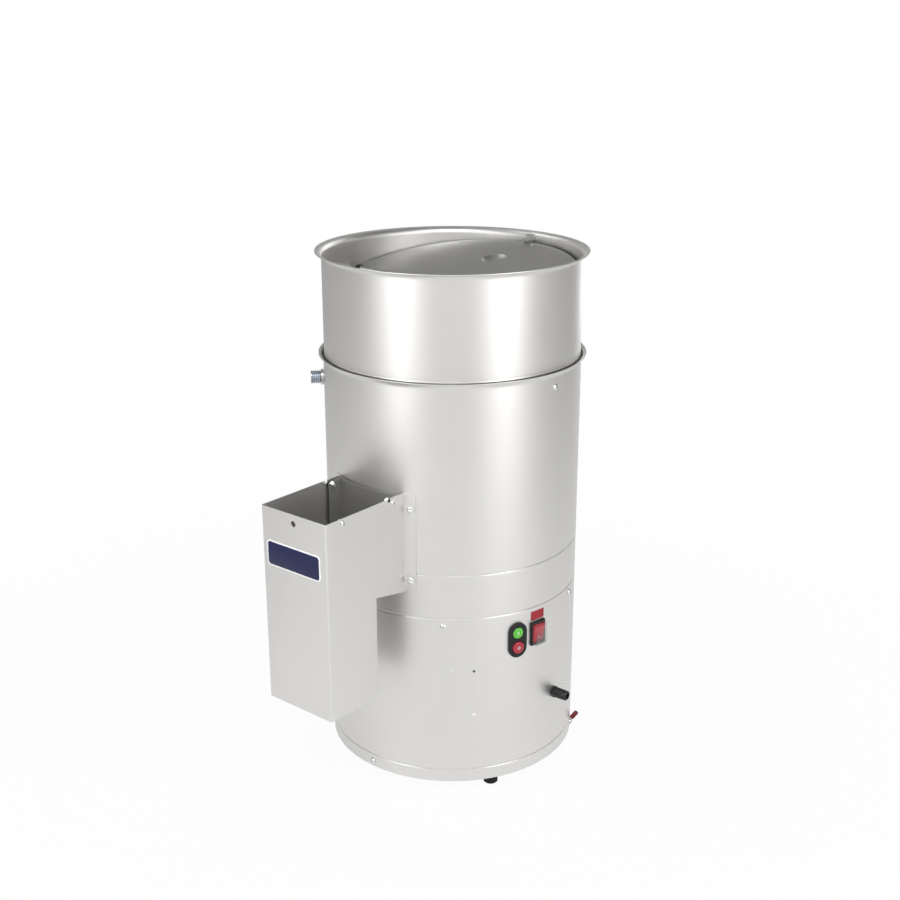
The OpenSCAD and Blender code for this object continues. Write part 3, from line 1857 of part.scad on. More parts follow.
// The drum stands off the origin, so that the origin is the middle of the footprint on the floor
translate([-middle_x, -middle_y, 0]) {
  feet();
  foot_studs();
  base_ring();
  casing_screws();
  motor_casing();
  pan();
  drum();
  drum_liner();
  collar_seal();
  loading_tube();
  lid_rear_wing();
  lid_front_wing();
  lid_rod();
  lid_counterweight();
  lid_pivots();
  lid_stop();
  lid_bumper();
  lid_bumper_screw();
  chute();
  chute_bolts();
  chute_screw();
  name_plate();
  outlet_door();
  door_seal();
  door_pivots();
  door_bushes();
  water_inlet();
  inlet_nuts();
  spray_nozzle();
  drain_spout();
  disc_plate();
  disc_abrasive();
  disc_cap();
  disc_shaft();
  shaft_seal();
  bearings();
  bearing_housing();
  housing_bolts();
  driven_pulley();
  drive_belt();
  motor_pulley();
  motor_shaft();
  motor_body();
  motor_fan_cover();
  motor_plate();
  motor_hangers();
  button_bezel();
  switch_body();
  green_button();
  red_button();
  rocker_housing();
  rocker();
  rocker_cover();
  cable_gland();
  gland_nut();
  earth_terminal();
  terminal_sleeve();
  electrics_plate();
  contactor();
  electrics_studs();
}
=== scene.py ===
# %% [markdown]
# # An electric potato peeler
# The peeler is a tower of stainless shells: a base ring, a motor casing, a pan band, a drum with a flared
# collar and a loading tube with a flared rim. A square chute hangs on the drum's front. The solids come from
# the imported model, so what is left here is how they look: the sheet's grain, the mouldings, the small marks
# on the controls, and the light.

import math

import bmesh
import bpy
from mathutils import Matrix, Vector


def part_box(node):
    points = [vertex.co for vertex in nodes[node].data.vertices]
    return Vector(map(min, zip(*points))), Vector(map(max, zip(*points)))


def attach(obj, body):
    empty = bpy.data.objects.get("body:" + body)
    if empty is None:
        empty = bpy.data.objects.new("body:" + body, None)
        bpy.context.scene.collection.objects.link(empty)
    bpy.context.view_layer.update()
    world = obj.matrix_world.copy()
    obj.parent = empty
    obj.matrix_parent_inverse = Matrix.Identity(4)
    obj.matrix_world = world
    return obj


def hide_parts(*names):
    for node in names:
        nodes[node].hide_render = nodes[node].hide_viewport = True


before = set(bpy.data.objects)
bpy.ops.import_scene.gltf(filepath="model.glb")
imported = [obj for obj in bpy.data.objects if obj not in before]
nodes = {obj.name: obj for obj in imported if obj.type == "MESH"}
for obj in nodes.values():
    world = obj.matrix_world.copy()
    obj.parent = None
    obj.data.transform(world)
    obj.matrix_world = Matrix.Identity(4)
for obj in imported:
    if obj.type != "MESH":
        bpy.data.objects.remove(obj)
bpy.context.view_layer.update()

# %% [markdown]
# ## Where the drum stands
# The origin is the middle of the footprint, and the chute and the waste pipe stick out to the sides, so the
# drum's axis is beside it. Most pieces are round that axis, so its place is read once and every later place
# is given from it. The shells' radius, the heights where one shell meets the next and the places of the
# controls are read from the solids' boxes too, so the finish follows them when a size changes. On the
# collar's lip the bright line lies a hair below the top.

# %% The drum's axis
drum_low, drum_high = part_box("drum")
AXIS = Vector(((drum_low.x + drum_high.x) / 2, (drum_low.y + drum_high.y) / 2, 0))
casing_low, casing_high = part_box("motor_casing")
BODY_R = (casing_high.x - casing_low.x) / 2


def top_of(node):
    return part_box(node)[1].z


def middle_of(node):
    """Azimuth round the drum's axis, and height, of the middle of a node's box."""
    low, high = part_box(node)
    middle = (low + high) / 2 - AXIS
    return math.degrees(math.atan2(middle.y, middle.x)), middle.z


def on_wall(azimuth, z, r=BODY_R):
    """Matrix of a place on the wall: x runs round the drum, y is up and z points out."""
    a = math.radians(azimuth)
    out = Vector((math.cos(a), math.sin(a), 0))
    round_it = Vector((-math.sin(a), math.cos(a), 0))
    place = AXIS + out * r + Vector((0, 0, z))
    return Matrix((
        (round_it.x, 0, out.x, place.x),
        (round_it.y, 0, out.y, place.y),
        (round_it.z, 1, out.z, place.z),
        (0, 0, 0, 1)))


LIP_DROP = 0.0002
SEAMS = [top_of(node) for node in ("base_ring", "motor_casing", "pan")] + [top_of("drum") - LIP_DROP]
print("axis", [round(v * 1000, 2) for v in AXIS], "shell radius", round(BODY_R * 1000, 3), "mm")
print("seams at", [round(seam * 1000, 1) for seam in SEAMS], "mm")

# %% [markdown]
# ## Shader maths as plain Python
# A shader is a small tree of nodes. Written as Python expressions it reads like the formula that it is, so a
# socket is wrapped in a class whose operators add Math nodes. Every other node comes from one method, which
# sets the node's settings first and its inputs after that. Materials and the world use it alike.


# %% A socket with operators
class Sock:
    def __init__(self, graph, out):
        self.graph = graph
        self.out = out

    def math(self, operation, other=None, swap=False):
        values = [self, other] if not swap else [other, self]
        inputs = {i: v for i, v in enumerate(values) if v is not None}
        return self.graph.add("ShaderNodeMath", {"operation": operation}, inputs)

    def __add__(self, other):
        return self.math("ADD", other)

    def __radd__(self, other):
        return self.math("ADD", other)

    def __sub__(self, other):
        return self.math("SUBTRACT", other)

    def __rsub__(self, other):
        return self.math("SUBTRACT", other, swap=True)

    def __mul__(self, other):
        return self.math("MULTIPLY", other)

    def __rmul__(self, other):
        return self.math("MULTIPLY", other)

    def __abs__(self):
        return self.math("ABSOLUTE")

    def __gt__(self, other):
        return self.math("GREATER_THAN", other)

    def __lt__(self, other):
        return self.math("LESS_THAN", other)

    def root(self):
        return self.math("SQRT")

    def most(self, other):
        return self.math("MAXIMUM", other)

    def least(self, other):
        return self.math("MINIMUM", other)


class Tree:
    """A node tree, and the one way to add a node to it."""

    def __init__(self, tree):
        self.tree = tree
        tree.nodes.clear()

    def link(self, node, key, value):
        socket = node.inputs[key]
        if isinstance(value, Sock):
            self.tree.links.new(value.out, socket)
        else:
            socket.default_value = value

    def node(self, kind, settings=None, inputs=None):
        node = self.tree.nodes.new(kind)
        for key, value in (settings or {}).items():
            setattr(node, key, value)
        for key, value in (inputs or {}).items():
            self.link(node, key, value)
        return node

    def add(self, kind, settings=None, inputs=None, out=0):
        return Sock(self, self.node(kind, settings, inputs).outputs[out])

    def split(self, vector):
        node = self.node("ShaderNodeSeparateXYZ", {}, {0: vector})
        return [Sock(self, node.outputs[i]) for i in range(3)]

    def seen_plainly(self):
        """One for the camera and for what it sees through clear plastic, nothing for other rays."""
        rays = self.node("ShaderNodeLightPath").outputs
        return Sock(self, rays["Is Camera Ray"]).most(Sock(self, rays["Is Transmission Ray"]))


class Graph(Tree):
    """The node tree of one material, with its Principled shader."""

    def __init__(self, name, **values):
        self.material = bpy.data.materials.new(name)
        self.material.use_nodes = True
        super().__init__(self.material.node_tree)
        self.output = self.node("ShaderNodeOutputMaterial")
        self.shader = self.node("ShaderNodeBsdfPrincipled")
        self.link(self.output, "Surface", Sock(self, self.shader.outputs[0]))
        self.set(**values)

    def set(self, **values):
        for key, value in values.items():
            self.link(self.shader, key.replace("_", " "), value)

    def place(self, scale=(1, 1, 1), location=(0, 0, 0)):
        coords = self.add("ShaderNodeTexCoord", out="Object")
        inputs = {"Vector": coords, "Scale": scale, "Location": location}
        return self.add("ShaderNodeMapping", {"vector_type": "POINT"}, inputs)

    def noise(self, vector, scale, detail=2.0, roughness=0.5):
        inputs = {"Vector": vector, "Scale": scale, "Detail": detail, "Roughness": roughness}
        return self.add("ShaderNodeTexNoise", {}, inputs)

    def blend(self, mask, a, b):
        settings = {"data_type": "RGBA", "clamp_factor": True}
        return self.add("ShaderNodeMix", settings, {0: mask, 6: a, 7: b}, out=2)

    def bump(self, height, strength, distance):
        inputs = {"Height": height, "Strength": strength, "Distance": distance}
        self.set(Normal=self.add("ShaderNodeBump", {}, inputs))

    def on_the_wall(self, azimuth, z):
        """How far a point lies round the wall and up it from a place on the wall, in metres."""
        a = math.radians(azimuth)
        x, y, up = self.split(self.place(location=(-AXIS.x, -AXIS.y, -z)))
        return y * math.cos(a) - x * math.sin(a), up


def rgb(r, g, b):
    return (r, g, b, 1.0)


# %% [markdown]
# ## Stainless sheet
# The shells and the chute are satin sheet. Its finish is a fine grain that runs round the drum and across the
# chute, so a noise is drawn out hard in plan and hardly at all up the height. The grain barely shows in the
# colour. It shows in how the surface scatters light, so it drives roughness and a very shallow bump. A slow
# cloud on top, of handling and polishing, keeps large areas from looking like plastic.
#
# Where two shells meet, a narrow band at each seam is smoother and a little proud, as a rolled edge is that
# hands and cloths have rubbed, and its colour is lighter: that lighter colour is a painted highlight along
# the rolled edge. The upper side of the flare between the collar and the tube is painted dark: painted shade
# in that recess.

# %% A satin sheet
SEAM_BAND_HALF = 0.0020
FLARE_MARGIN, FLARE_DEPTH = 0.0015, 0.020
LIP_INSET, FLARE_WIDTH, FLARE_START = 0.00155, 0.004, 0.0006
FLARE_TOP = top_of("drum") + FLARE_MARGIN
FLARE_LIP_R = (drum_high.x - drum_low.x) / 2 - LIP_INSET
SEAM_RISE, GRAIN_RISE, FINE_RISE = 0.0008, 0.0003, 0.0001
DRUM_GRAIN = (0.012, 0.012, 1)
LID_GRAIN = (0.012, 1, 1)


def seam_wear_and_highlight(g, seams):
    """One on each seam, falling to nothing at the edge of its band: the mask of the seams' wear and their
    painted highlight.
    """
    x, y, z = g.split(g.place())
    wear_and_highlight = 0.0
    for seam in seams:
        wear_and_highlight = wear_and_highlight + (1 - abs(z - seam) * (1 / SEAM_BAND_HALF)).most(0.0)
    return wear_and_highlight


def flare_painted_shade(g):
    """How dark the painted shade on the upper side of the collar's flare is: most at the tube, nothing near
    the lip.
    """
    x, y, z = g.split(g.place(location=(-AXIS.x, -AXIS.y, 0)))
    reach = (x * x + y * y).root()
    up = g.split(g.add("ShaderNodeNewGeometry", out="Normal"))[2]
    depth = ((FLARE_LIP_R - reach) * (1 / FLARE_WIDTH)).most(0.0).least(1.0)
    in_flare = abs(z - (FLARE_TOP - FLARE_DEPTH / 2)) < FLARE_DEPTH / 2
    off_tube = reach > BODY_R - FLARE_START
    return depth * in_flare * off_tube * (up > 0.1) * 0.85


def satin_sheet(name, tint, rough, grain=DRUM_GRAIN, seams=()):
    g = Graph(name, Metallic=1.0)
    fine = g.noise(g.place(scale=grain), 1150.0, 3.0, 0.6)
    coarse = g.noise(g.place(scale=grain), 300.0, 2.0, 0.5)
    slow = g.noise(g.place(), 7.0, 3.0, 0.55)
    smudge = g.noise(g.place(scale=(1, 1, 0.6)), 22.0, 4.0, 0.6)
    mixed = fine * 0.6 + coarse * 0.4
    scatter = rough - 0.08 + mixed * 0.08 + slow * 0.06 + smudge * 0.04
    tone = mixed * 0.45 + slow * 0.35 + smudge * 0.2
    low = rgb(*[c * 0.95 for c in tint])
    high = rgb(*[c * 1.04 for c in tint])
    if seams:
        wear_and_highlight = seam_wear_and_highlight(g, seams)
        g.set(Roughness=scatter - wear_and_highlight * 0.10)
        # painted highlight: the seam bands are lighter in colour, standing for the light that the rolled
        # edges catch
        sheet = g.blend(tone + wear_and_highlight * 0.6, low, high)
        # painted shade: the upper side of the flare, a recess between the collar and the tube, is darkened in
        # colour
        g.set(Base_Color=g.blend(flare_painted_shade(g), sheet, rgb(0.12, 0.12, 0.12)))
        g.bump(mixed * 0.05 + wear_and_highlight, 0.5, SEAM_RISE)
    else:
        g.set(Roughness=scatter, Base_Color=g.blend(tone, low, high))
        g.bump(mixed, 0.05, GRAIN_RISE)
    return g.material


STEEL = (0.765, 0.757, 0.743)
shell_steel = satin_sheet("shell_steel", STEEL, 0.42, seams=SEAMS)
chute_steel = satin_sheet("chute_steel", STEEL, 0.42)
# painted shade: the flap, its stop lug and the outlet door are the same satin sheet with darker tints,
# standing for the shade they lie in
lid_steel = satin_sheet("lid_steel", (0.50, 0.496, 0.488), 0.44, grain=LID_GRAIN)
lug_steel_shaded = satin_sheet("lug_steel_shaded", (0.55, 0.546, 0.54), 0.46)
door_steel_shaded = satin_sheet("door_steel_shaded", (0.62, 0.615, 0.605), 0.40)
print("sheet materials ready")

# %% [markdown]
# ## Screws, pins and plain bright metal
# Screws are plated and brighter than the sheet, and the water inlet is dull zinc with a bluish cast. A little
# noise in the roughness stands for handling marks.


# %% Bright plated metal
def plated(name, colour, rough, speckle=0.12):
    g = Graph(name, Metallic=1.0)
    spots = g.noise(g.place(), 900.0, 2.0, 0.6)
    g.set(Roughness=rough - speckle / 2 + spots * speckle)
    dark = rgb(*[c * 0.88 for c in colour])
    g.set(Base_Color=g.blend(spots, dark, rgb(*colour)))
    g.bump(spots, 0.08, FINE_RISE)
    return g.material


screw_metal = plated("screw_metal", (0.86, 0.855, 0.845), 0.22)
rod_metal = plated("rod_metal", (0.70, 0.70, 0.69), 0.28)
nut_metal = plated("nut_metal", (0.62, 0.62, 0.61), 0.36)
zinc_metal = plated("zinc_metal", (0.46, 0.51, 0.58), 0.36)
plate_metal = plated("plate_metal", (0.40, 0.42, 0.44), 0.42)
print("plated materials ready")

# %% [markdown]
# ## Castings, paint, grit, rubber and matt plastic
# Inside, the disc is a rough casting, its top is grit in resin, and the motor is painted. Outside, the feet,
# the gland and the switch frames are black and matt. All of them are grainier than sheet, so one material
# serves them: each call gives a dark and a light tint, how many grains lie in a metre, the roughness and the
# depth of the bump. The bumper on the flap is a grey rubber.


# %% Grainy surfaces
def grainy(name, dark, light, scale, rough, depth, metallic=0.0, strength=0.35, gloss=0.5):
    g = Graph(name, Metallic=metallic)
    g.shader.inputs["Specular IOR Level"].default_value = gloss
    lumps = g.noise(g.place(), scale, 4.0, 0.65)
    fine = g.noise(g.place(), scale * 4.3, 2.0, 0.6)
    mixed = lumps * 0.6 + fine * 0.4
    g.set(Base_Color=g.blend(mixed, rgb(*dark), rgb(*light)))
    g.set(Roughness=rough - 0.06 + mixed * 0.12)
    g.bump(mixed, strength, depth)
    return g.material


cast_metal = grainy("cast_metal", (0.42, 0.43, 0.44), (0.60, 0.61, 0.62), 420, 0.45, 0.0004, 1.0)
iron = grainy("iron", (0.10, 0.105, 0.11), (0.20, 0.205, 0.21), 380, 0.62, 0.0005)
grit = grainy("grit", (0.055, 0.05, 0.045), (0.21, 0.19, 0.17), 700, 0.88, 0.0012, 0.0, 0.8)
motor_paint = grainy("motor_paint", (0.085, 0.10, 0.115), (0.12, 0.135, 0.15), 260, 0.45, 0.0002)
rubber = grainy("rubber", (0.005, 0.005, 0.006), (0.012, 0.012, 0.013), 600, 0.62, 0.0002, gloss=0.25)
grey_rubber = grainy("grey_rubber", (0.15, 0.15, 0.148), (0.22, 0.22, 0.217), 600, 0.62, 0.0002)
seal_rubber = grainy("seal_rubber", (0.005, 0.005, 0.006), (0.012, 0.012, 0.013), 500, 0.55, 0.0001)
black_moulding = grainy("black_moulding", (0.006, 0.006, 0.007), (0.014, 0.014, 0.015), 900, 0.46, 0.00015,
                        gloss=0.3)
gland_black = grainy("gland_black", (0.003, 0.003, 0.004), (0.012, 0.012, 0.013), 900, 0.36, 0.00015,
                     gloss=0.45)
cream = grainy("cream", (0.62, 0.60, 0.54), (0.70, 0.68, 0.62), 300, 0.5, 0.0001)
print("grainy materials ready")

# %% [markdown]
# ## Coloured mouldings
# Buttons are glossy, slightly uneven mouldings. A coat gives the wet highlight that plastic has and paint
# has not, and the fine noise in the roughness keeps that highlight from being perfect.


# %% Glossy mouldings
def glossy(name, colour, rough=0.22, coat=0.3, spread=0.10, mark=None):
    g = Graph(name)
    swirl = g.noise(g.place(), 260.0, 3.0, 0.55)
    body = g.blend(swirl, rgb(*[c * (1 - spread) for c in colour]), rgb(*colour))
    g.set(Base_Color=g.blend(mark(g), body, rgb(0.78, 0.78, 0.76)) if mark else body)
    g.set(Roughness=rough - 0.04 + swirl * 0.10)
    g.shader.inputs["Coat Weight"].default_value = coat
    g.shader.inputs["Coat Roughness"].default_value = 0.12
    g.bump(swirl, 0.06, FINE_RISE)
    return g.material


# %% [markdown]
# ## Marks on the switches
# Switches carry the two marks that stand for on and off: a bar and a ring. They are printed on the face, so
# they are a formula in the colour, in lengths round the wall and up it from the middle of the face. The red
# label's fine pale edge is made in the same way.

# %% The marks and the coloured mouldings
BUTTONS_AZ, BUTTONS_Z = middle_of("button_bezel")
ROCKER_AZ, ROCKER_Z = middle_of("rocker_cover")
BUTTON_RISE = 0.011
LABEL_W, LABEL_H, LABEL_GAP = 0.0255, 0.0145, 0.0035
LABEL_AZ, LABEL_Z = ROCKER_AZ, top_of("rocker_cover") + LABEL_GAP + LABEL_H / 2
BUTTON_BAR_W, BUTTON_BAR_H = 0.0013, 0.0042
RING_INSIDE, RING_OUTSIDE = 0.0015, 0.0023
ROCKER_BAR_W, ROCKER_BAR_H, ROCKER_BAR_DROP = 0.0010, 0.0046, 0.0075
LABEL_LINE = 0.0003


def bar_mark(azimuth, z, width, height):
    def mark(g):
        across, up = g.on_the_wall(azimuth, z)
        return (abs(across) < width / 2) * (abs(up) < height / 2)
    return mark


def ring_mark(azimuth, z, inside, outside):
    def mark(g):
        across, up = g.on_the_wall(azimuth, z)
        reach = (across * across + up * up).root()
        return (reach > inside) * (reach < outside)
    return mark


def edge_mark(azimuth, z, width, height, line):
    def mark(g):
        across, up = g.on_the_wall(azimuth, z)
        return (abs(across) > width / 2 - line).most(abs(up) > height / 2 - line)
    return mark


green_plastic = glossy("green_plastic", (0.11, 0.52, 0.045),
                       mark=bar_mark(BUTTONS_AZ, BUTTONS_Z + BUTTON_RISE, BUTTON_BAR_W, BUTTON_BAR_H))
red_plastic = glossy("red_plastic", (0.40, 0.016, 0.034),
                     mark=ring_mark(BUTTONS_AZ, BUTTONS_Z - BUTTON_RISE, RING_INSIDE, RING_OUTSIDE))
rocker_red = glossy("rocker_red", (0.56, 0.012, 0.025), 0.2,
                    mark=bar_mark(ROCKER_AZ, ROCKER_Z - ROCKER_BAR_DROP, ROCKER_BAR_W, ROCKER_BAR_H))
sleeve_red = glossy("sleeve_red", (0.17, 0.004, 0.007), 0.4, 0.04)
sticker_red = glossy("sticker_red", (0.58, 0.035, 0.052), 0.38, 0.1, 0.06,
                     mark=edge_mark(LABEL_AZ, LABEL_Z, LABEL_W, LABEL_H, LABEL_LINE))
print("mouldings ready")

# %% [markdown]
# ## The clear cover
# The rocker switch sits under a soft clear cover. Clear plastic over something coloured is easiest as a thin,
# mostly transparent skin: most light goes straight through, and the rest is the skin's own gloss. It is less
# clear where it is seen edge on, and hazy over the rocker's lower half, where fingers press.

# %% Clear cover
HAZE_HALF_WIDTH = 0.0095
HAZE_TOP, HAZE_FADE = 0.003, 0.018


def clear_skin(name):
    g = Graph(name, Metallic=0.0)
    swirl = g.noise(g.place(), 180.0, 2.0, 0.5)
    across, up = g.on_the_wall(ROCKER_AZ, ROCKER_Z)
    g.set(Base_Color=g.blend(swirl, rgb(0.22, 0.22, 0.23), rgb(0.28, 0.28, 0.29)))
    g.set(Roughness=0.10 + swirl * 0.08)
    edge_on = g.add("ShaderNodeLayerWeight", {}, {"Blend": 0.35}, out="Facing")
    haze = ((HAZE_TOP - up) * (1 / HAZE_FADE)).most(0.0) * (abs(across) < HAZE_HALF_WIDTH)
    g.set(Alpha=0.02 + edge_on * 0.18 + swirl * 0.03 + haze * 0.30)
    g.shader.inputs["Coat Weight"].default_value = 0.2
    return g.material


clear_cover = clear_skin("clear_cover")
print("clear cover ready")

# %% [markdown]
# ## The blue plate
# The chute's front carries a small dark blue plate with a white line along its edge. The line follows a
# rectangle with round corners, which is one formula: the distance to that rectangle's edge.

# %% Plate with a white line
PLATE_LINE, PLATE_CORNER = 0.0019, 0.006


def framed_plate(name, node, line, corner):
    low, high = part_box(node)
    middle = (low + high) / 2
    half = (high - low) / 2
    g = Graph(name)
    x, y, z = g.split(g.place(location=(-middle.x, -middle.y, -middle.z)))
    across = (abs(x) - (half.x - corner)).most(0.0)
    up = (abs(z) - (half.z - corner)).most(0.0)
    reach = (across * across + up * up).root()
    on_line = corner - reach < line
    swirl = g.noise(g.place(), 220.0, 3.0, 0.5)
    field = g.blend(swirl, rgb(0.008, 0.011, 0.060), rgb(0.012, 0.016, 0.078))
    g.set(Base_Color=g.blend(on_line, field, rgb(0.97, 0.98, 1.0)))
    g.set(Roughness=0.36 + swirl * 0.10)
    g.shader.inputs["Specular IOR Level"].default_value = 0.3
    g.shader.inputs["Coat Weight"].default_value = 0.06
    g.bump(swirl, 0.05, FINE_RISE)
    return g.material


blue_plate = framed_plate("blue_plate", "name_plate", PLATE_LINE, PLATE_CORNER)
print("plate ready")

# %% [markdown]
# ## Give every solid its material
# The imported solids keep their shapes, so each of them only has its material slot filled.

# %% Materials on the solids
finish_of = {
    shell_steel: ["base_ring", "motor_casing", "pan", "drum", "loading_tube", "drain_spout", "disc_cap"],
    chute_steel: ["chute"],
    lid_steel: ["lid_rear_wing", "lid_front_wing"],
    door_steel_shaded: ["outlet_door"],
    lug_steel_shaded: ["lid_stop", "lid_bumper_screw"],
    screw_metal: ["casing_screws", "chute_bolts", "chute_screw", "door_pivots", "earth_terminal",
                  "electrics_studs", "housing_bolts", "foot_studs", "motor_hangers"],
    rod_metal: ["lid_rod", "lid_counterweight", "disc_shaft", "motor_shaft", "bearings", "spray_nozzle"],
    nut_metal: ["inlet_nuts"],
    zinc_metal: ["water_inlet"],
    plate_metal: ["motor_plate", "electrics_plate"],
    cast_metal: ["disc_plate"],
    iron: ["bearing_housing", "driven_pulley", "motor_pulley"],
    grit: ["disc_abrasive", "drum_liner"],
    motor_paint: ["motor_body", "motor_fan_cover"],
    grey_rubber: ["lid_bumper"],
    rubber: ["feet", "door_seal", "shaft_seal", "drive_belt"],
    seal_rubber: ["collar_seal"],
    black_moulding: ["lid_pivots", "door_bushes", "button_bezel", "switch_body", "rocker_housing"],
    gland_black: ["cable_gland", "gland_nut"],
    cream: ["contactor"],
    green_plastic: ["green_button"],
    red_plastic: ["red_button"],
    rocker_red: ["rocker"],
    sleeve_red: ["terminal_sleeve"],
    clear_cover: ["rocker_cover"],
    blue_plate: ["name_plate"],
}
left = set(nodes)
for material, names in finish_of.items():
    for name in names:
        nodes[name].data.materials.clear()
        nodes[name].data.materials.append(material)
        left.discard(name)
print("without a material of their own:", sorted(left))

# %% [markdown]
# ## Hands for modelling
# An operator acts on all that is selected, and loading leaves every solid selected, so each piece starts from
# a clean selection. Faces are then picked in code, by where they are. A finished piece gets its place in its
# mesh, its material, smooth shading up to an angle and the body that it moves with.

# %% Start clean, pick, and finish a piece
def fresh():
    if bpy.context.object and bpy.context.object.mode != "OBJECT":
        bpy.ops.object.mode_set(mode="OBJECT")
    bpy.ops.object.select_all(action="DESELECT")


def edit(piece, kind="FACE"):
    bpy.context.view_layer.objects.active = piece
    piece.select_set(True)
    bpy.ops.object.mode_set(mode="EDIT")
    bpy.ops.mesh.select_mode(type=kind)


def pick_faces(piece, test):
    """Selects only the faces whose middle and normal pass the test."""
    bpy.ops.mesh.select_all(action="DESELECT")
    mesh = bmesh.from_edit_mesh(piece.data)
    for face in mesh.faces:
        if test(face.calc_center_median(), face.normal):
            face.select_set(True)
    bmesh.update_edit_mesh(piece.data)


def pick_verts(piece, test):
    """Selects only the points that pass the test."""
    bpy.ops.mesh.select_all(action="DESELECT")
    mesh = bmesh.from_edit_mesh(piece.data)
    for point in mesh.verts:
        if test(point.co):
            point.select_set(True)
    mesh.select_flush_mode()
    bmesh.update_edit_mesh(piece.data)


def grow(piece, rise, width=1.0, at=0.0):
    """Pulls the selected face up by a rise, then narrows or widens it round the piece's own axis."""
    bpy.ops.mesh.extrude_region_move(TRANSFORM_OT_translate={"value": (0, 0, rise)})
    if width != 1.0:
        bpy.ops.transform.resize(value=(width, width, 1), center_override=(0, 0, at))


def apply(piece, kind, **values):
    bpy.context.view_layer.objects.active = piece
    modifier = piece.modifiers.new(kind.lower(), kind)
    for key, value in values.items():
        setattr(modifier, key, value)
    bpy.ops.object.modifier_apply(modifier=modifier.name)


def finish_piece(piece, name, body, material, place=None, smooth=35):
    fresh()
    piece.name = name
    piece.data.name = name
    piece.select_set(True)
    bpy.context.view_layer.objects.active = piece
    if place is not None:
        piece.matrix_world = place @ piece.matrix_world
    bpy.ops.object.transform_apply(location=True, rotation=True, scale=True)
    bpy.ops.object.shade_smooth_by_angle(angle=math.radians(smooth))
    piece.data.materials.clear()
    piece.data.materials.append(material)
    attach(piece, body)
    print(name, "has", len(piece.data.polygons), "faces")


# %% [markdown]
# ## The water inlet
# The inlet is a threaded pipe end that sticks out of the drum's wall, with a ring nut behind it. A real
# thread is a helix, but at this size only its rings are seen. So a disc is pulled out again and again, a
# little wider and a little narrower in turn, and the last face is inset and pushed back in for the bore. The
# disc starts just inside the wall, and each pair in the lists says how far the face is pulled and how many
# times wider it gets.

# %% Threaded stub
INLET_AZ, INLET_Z = middle_of("water_inlet")
inlet_low, inlet_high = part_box("water_inlet")
INLET_R = (inlet_high.z - inlet_low.z) / 2
ROOT_SHARE = 0.90
THREADS = 4
STUB_INSIDE, PIPE_WALL, BORE_DEPTH, THREAD_BEVEL = 0.00165, 0.0016, 0.012, 0.00012
shank = [(0.0064, 1.0)]
ring = [(0.0009, 1 / ROOT_SHARE), (0.0007, 1.0), (0.0009, ROOT_SHARE), (0.0003, 1.0)]
mouth = [(0.0009, 1 / ROOT_SHARE), (0.0012, 1.0), (0.0007, 0.94)]
top = -STUB_INSIDE
fresh()
bpy.ops.mesh.primitive_circle_add(vertices=48, radius=INLET_R * ROOT_SHARE, fill_type="NGON",
                                  location=(0, 0, top))
stub = bpy.context.object
edit(stub)
bpy.ops.mesh.select_all(action="SELECT")
for rise, width in shank + ring * THREADS + mouth:
    top += rise
    grow(stub, rise, width, top)
bpy.ops.mesh.inset(thickness=PIPE_WALL)
grow(stub, -BORE_DEPTH)
bpy.ops.mesh.select_all(action="SELECT")
bpy.ops.mesh.normals_make_consistent(inside=False)
fresh()
apply(stub, "BEVEL", width=THREAD_BEVEL, segments=2, limit_method="ANGLE", angle_limit=math.radians(25))
finish_piece(stub, "inlet_thread", "housing", zinc_metal, on_wall(INLET_AZ, INLET_Z), 40)
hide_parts("water_inlet")

# %% [markdown]
# ## The red label
# Just above the rocker switch a red label lies on the casing. It is a piece of thin film, so it follows the
# round wall: a ring of the wall's own radius is cut down to the label's width, its corners are rounded, and
# it gets a hair of thickness.

# %% Film on the casing
FILM = 0.00012
CORNER_R, CORNER_REACH = 0.0012, 0.0002
fresh()
bpy.ops.mesh.primitive_cylinder_add(vertices=720, radius=BODY_R + FILM, depth=LABEL_H,
                                    end_fill_type="NOTHING", location=AXIS + Vector((0, 0, LABEL_Z)))
label = bpy.context.object
edit(label, "EDGE")
for side in (-1, 1):
    turn = math.radians(LABEL_AZ) + side * LABEL_W / 2 / BODY_R
    bpy.ops.mesh.select_all(action="SELECT")
    bpy.ops.mesh.bisect(plane_co=AXIS, plane_no=(-side * math.sin(turn), side * math.cos(turn), 0),
                        clear_outer=True)
ahead = Vector((math.cos(math.radians(LABEL_AZ)), math.sin(math.radians(LABEL_AZ)), 0))
pick_faces(label, lambda at, normal: (at - AXIS).dot(ahead) < 0)
bpy.ops.mesh.delete(type="FACE")


def is_corner(at):
    across = (at - AXIS).cross(ahead).z
    at_end = abs(across) > LABEL_W / 2 - CORNER_REACH
    return at_end and abs(at.z - LABEL_Z) > LABEL_H / 2 - CORNER_REACH


pick_verts(label, is_corner)
bpy.ops.mesh.bevel(offset=CORNER_R, segments=4, affect="VERTICES")
bpy.ops.mesh.select_all(action="SELECT")
bpy.ops.mesh.normals_make_consistent(inside=False)
fresh()
apply(label, "SOLIDIFY", thickness=FILM, offset=1.0)
finish_piece(label, "control_label", "housing", sticker_red, None, 30)

# %% [markdown]
# ## Soft edges
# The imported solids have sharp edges, and a sharp edge catches no light. Real mouldings have a small radius
# and folded sheet has rubbed edges. So the pieces that are seen from near get a copy with its doubles merged
# and a small bevel on every edge that turns by more than an angle, and the copy stands in for the solid. The
# chute's large flat sides would shade unevenly next to a rounded edge, so its bevel is one flat face, and
# only its bent flanges are shaded smooth.

# %% A softened copy of a solid
SAME_PLACE = 0.000002
FLAT_TURN, SHARP_TURN = math.radians(0.6), math.radians(32)


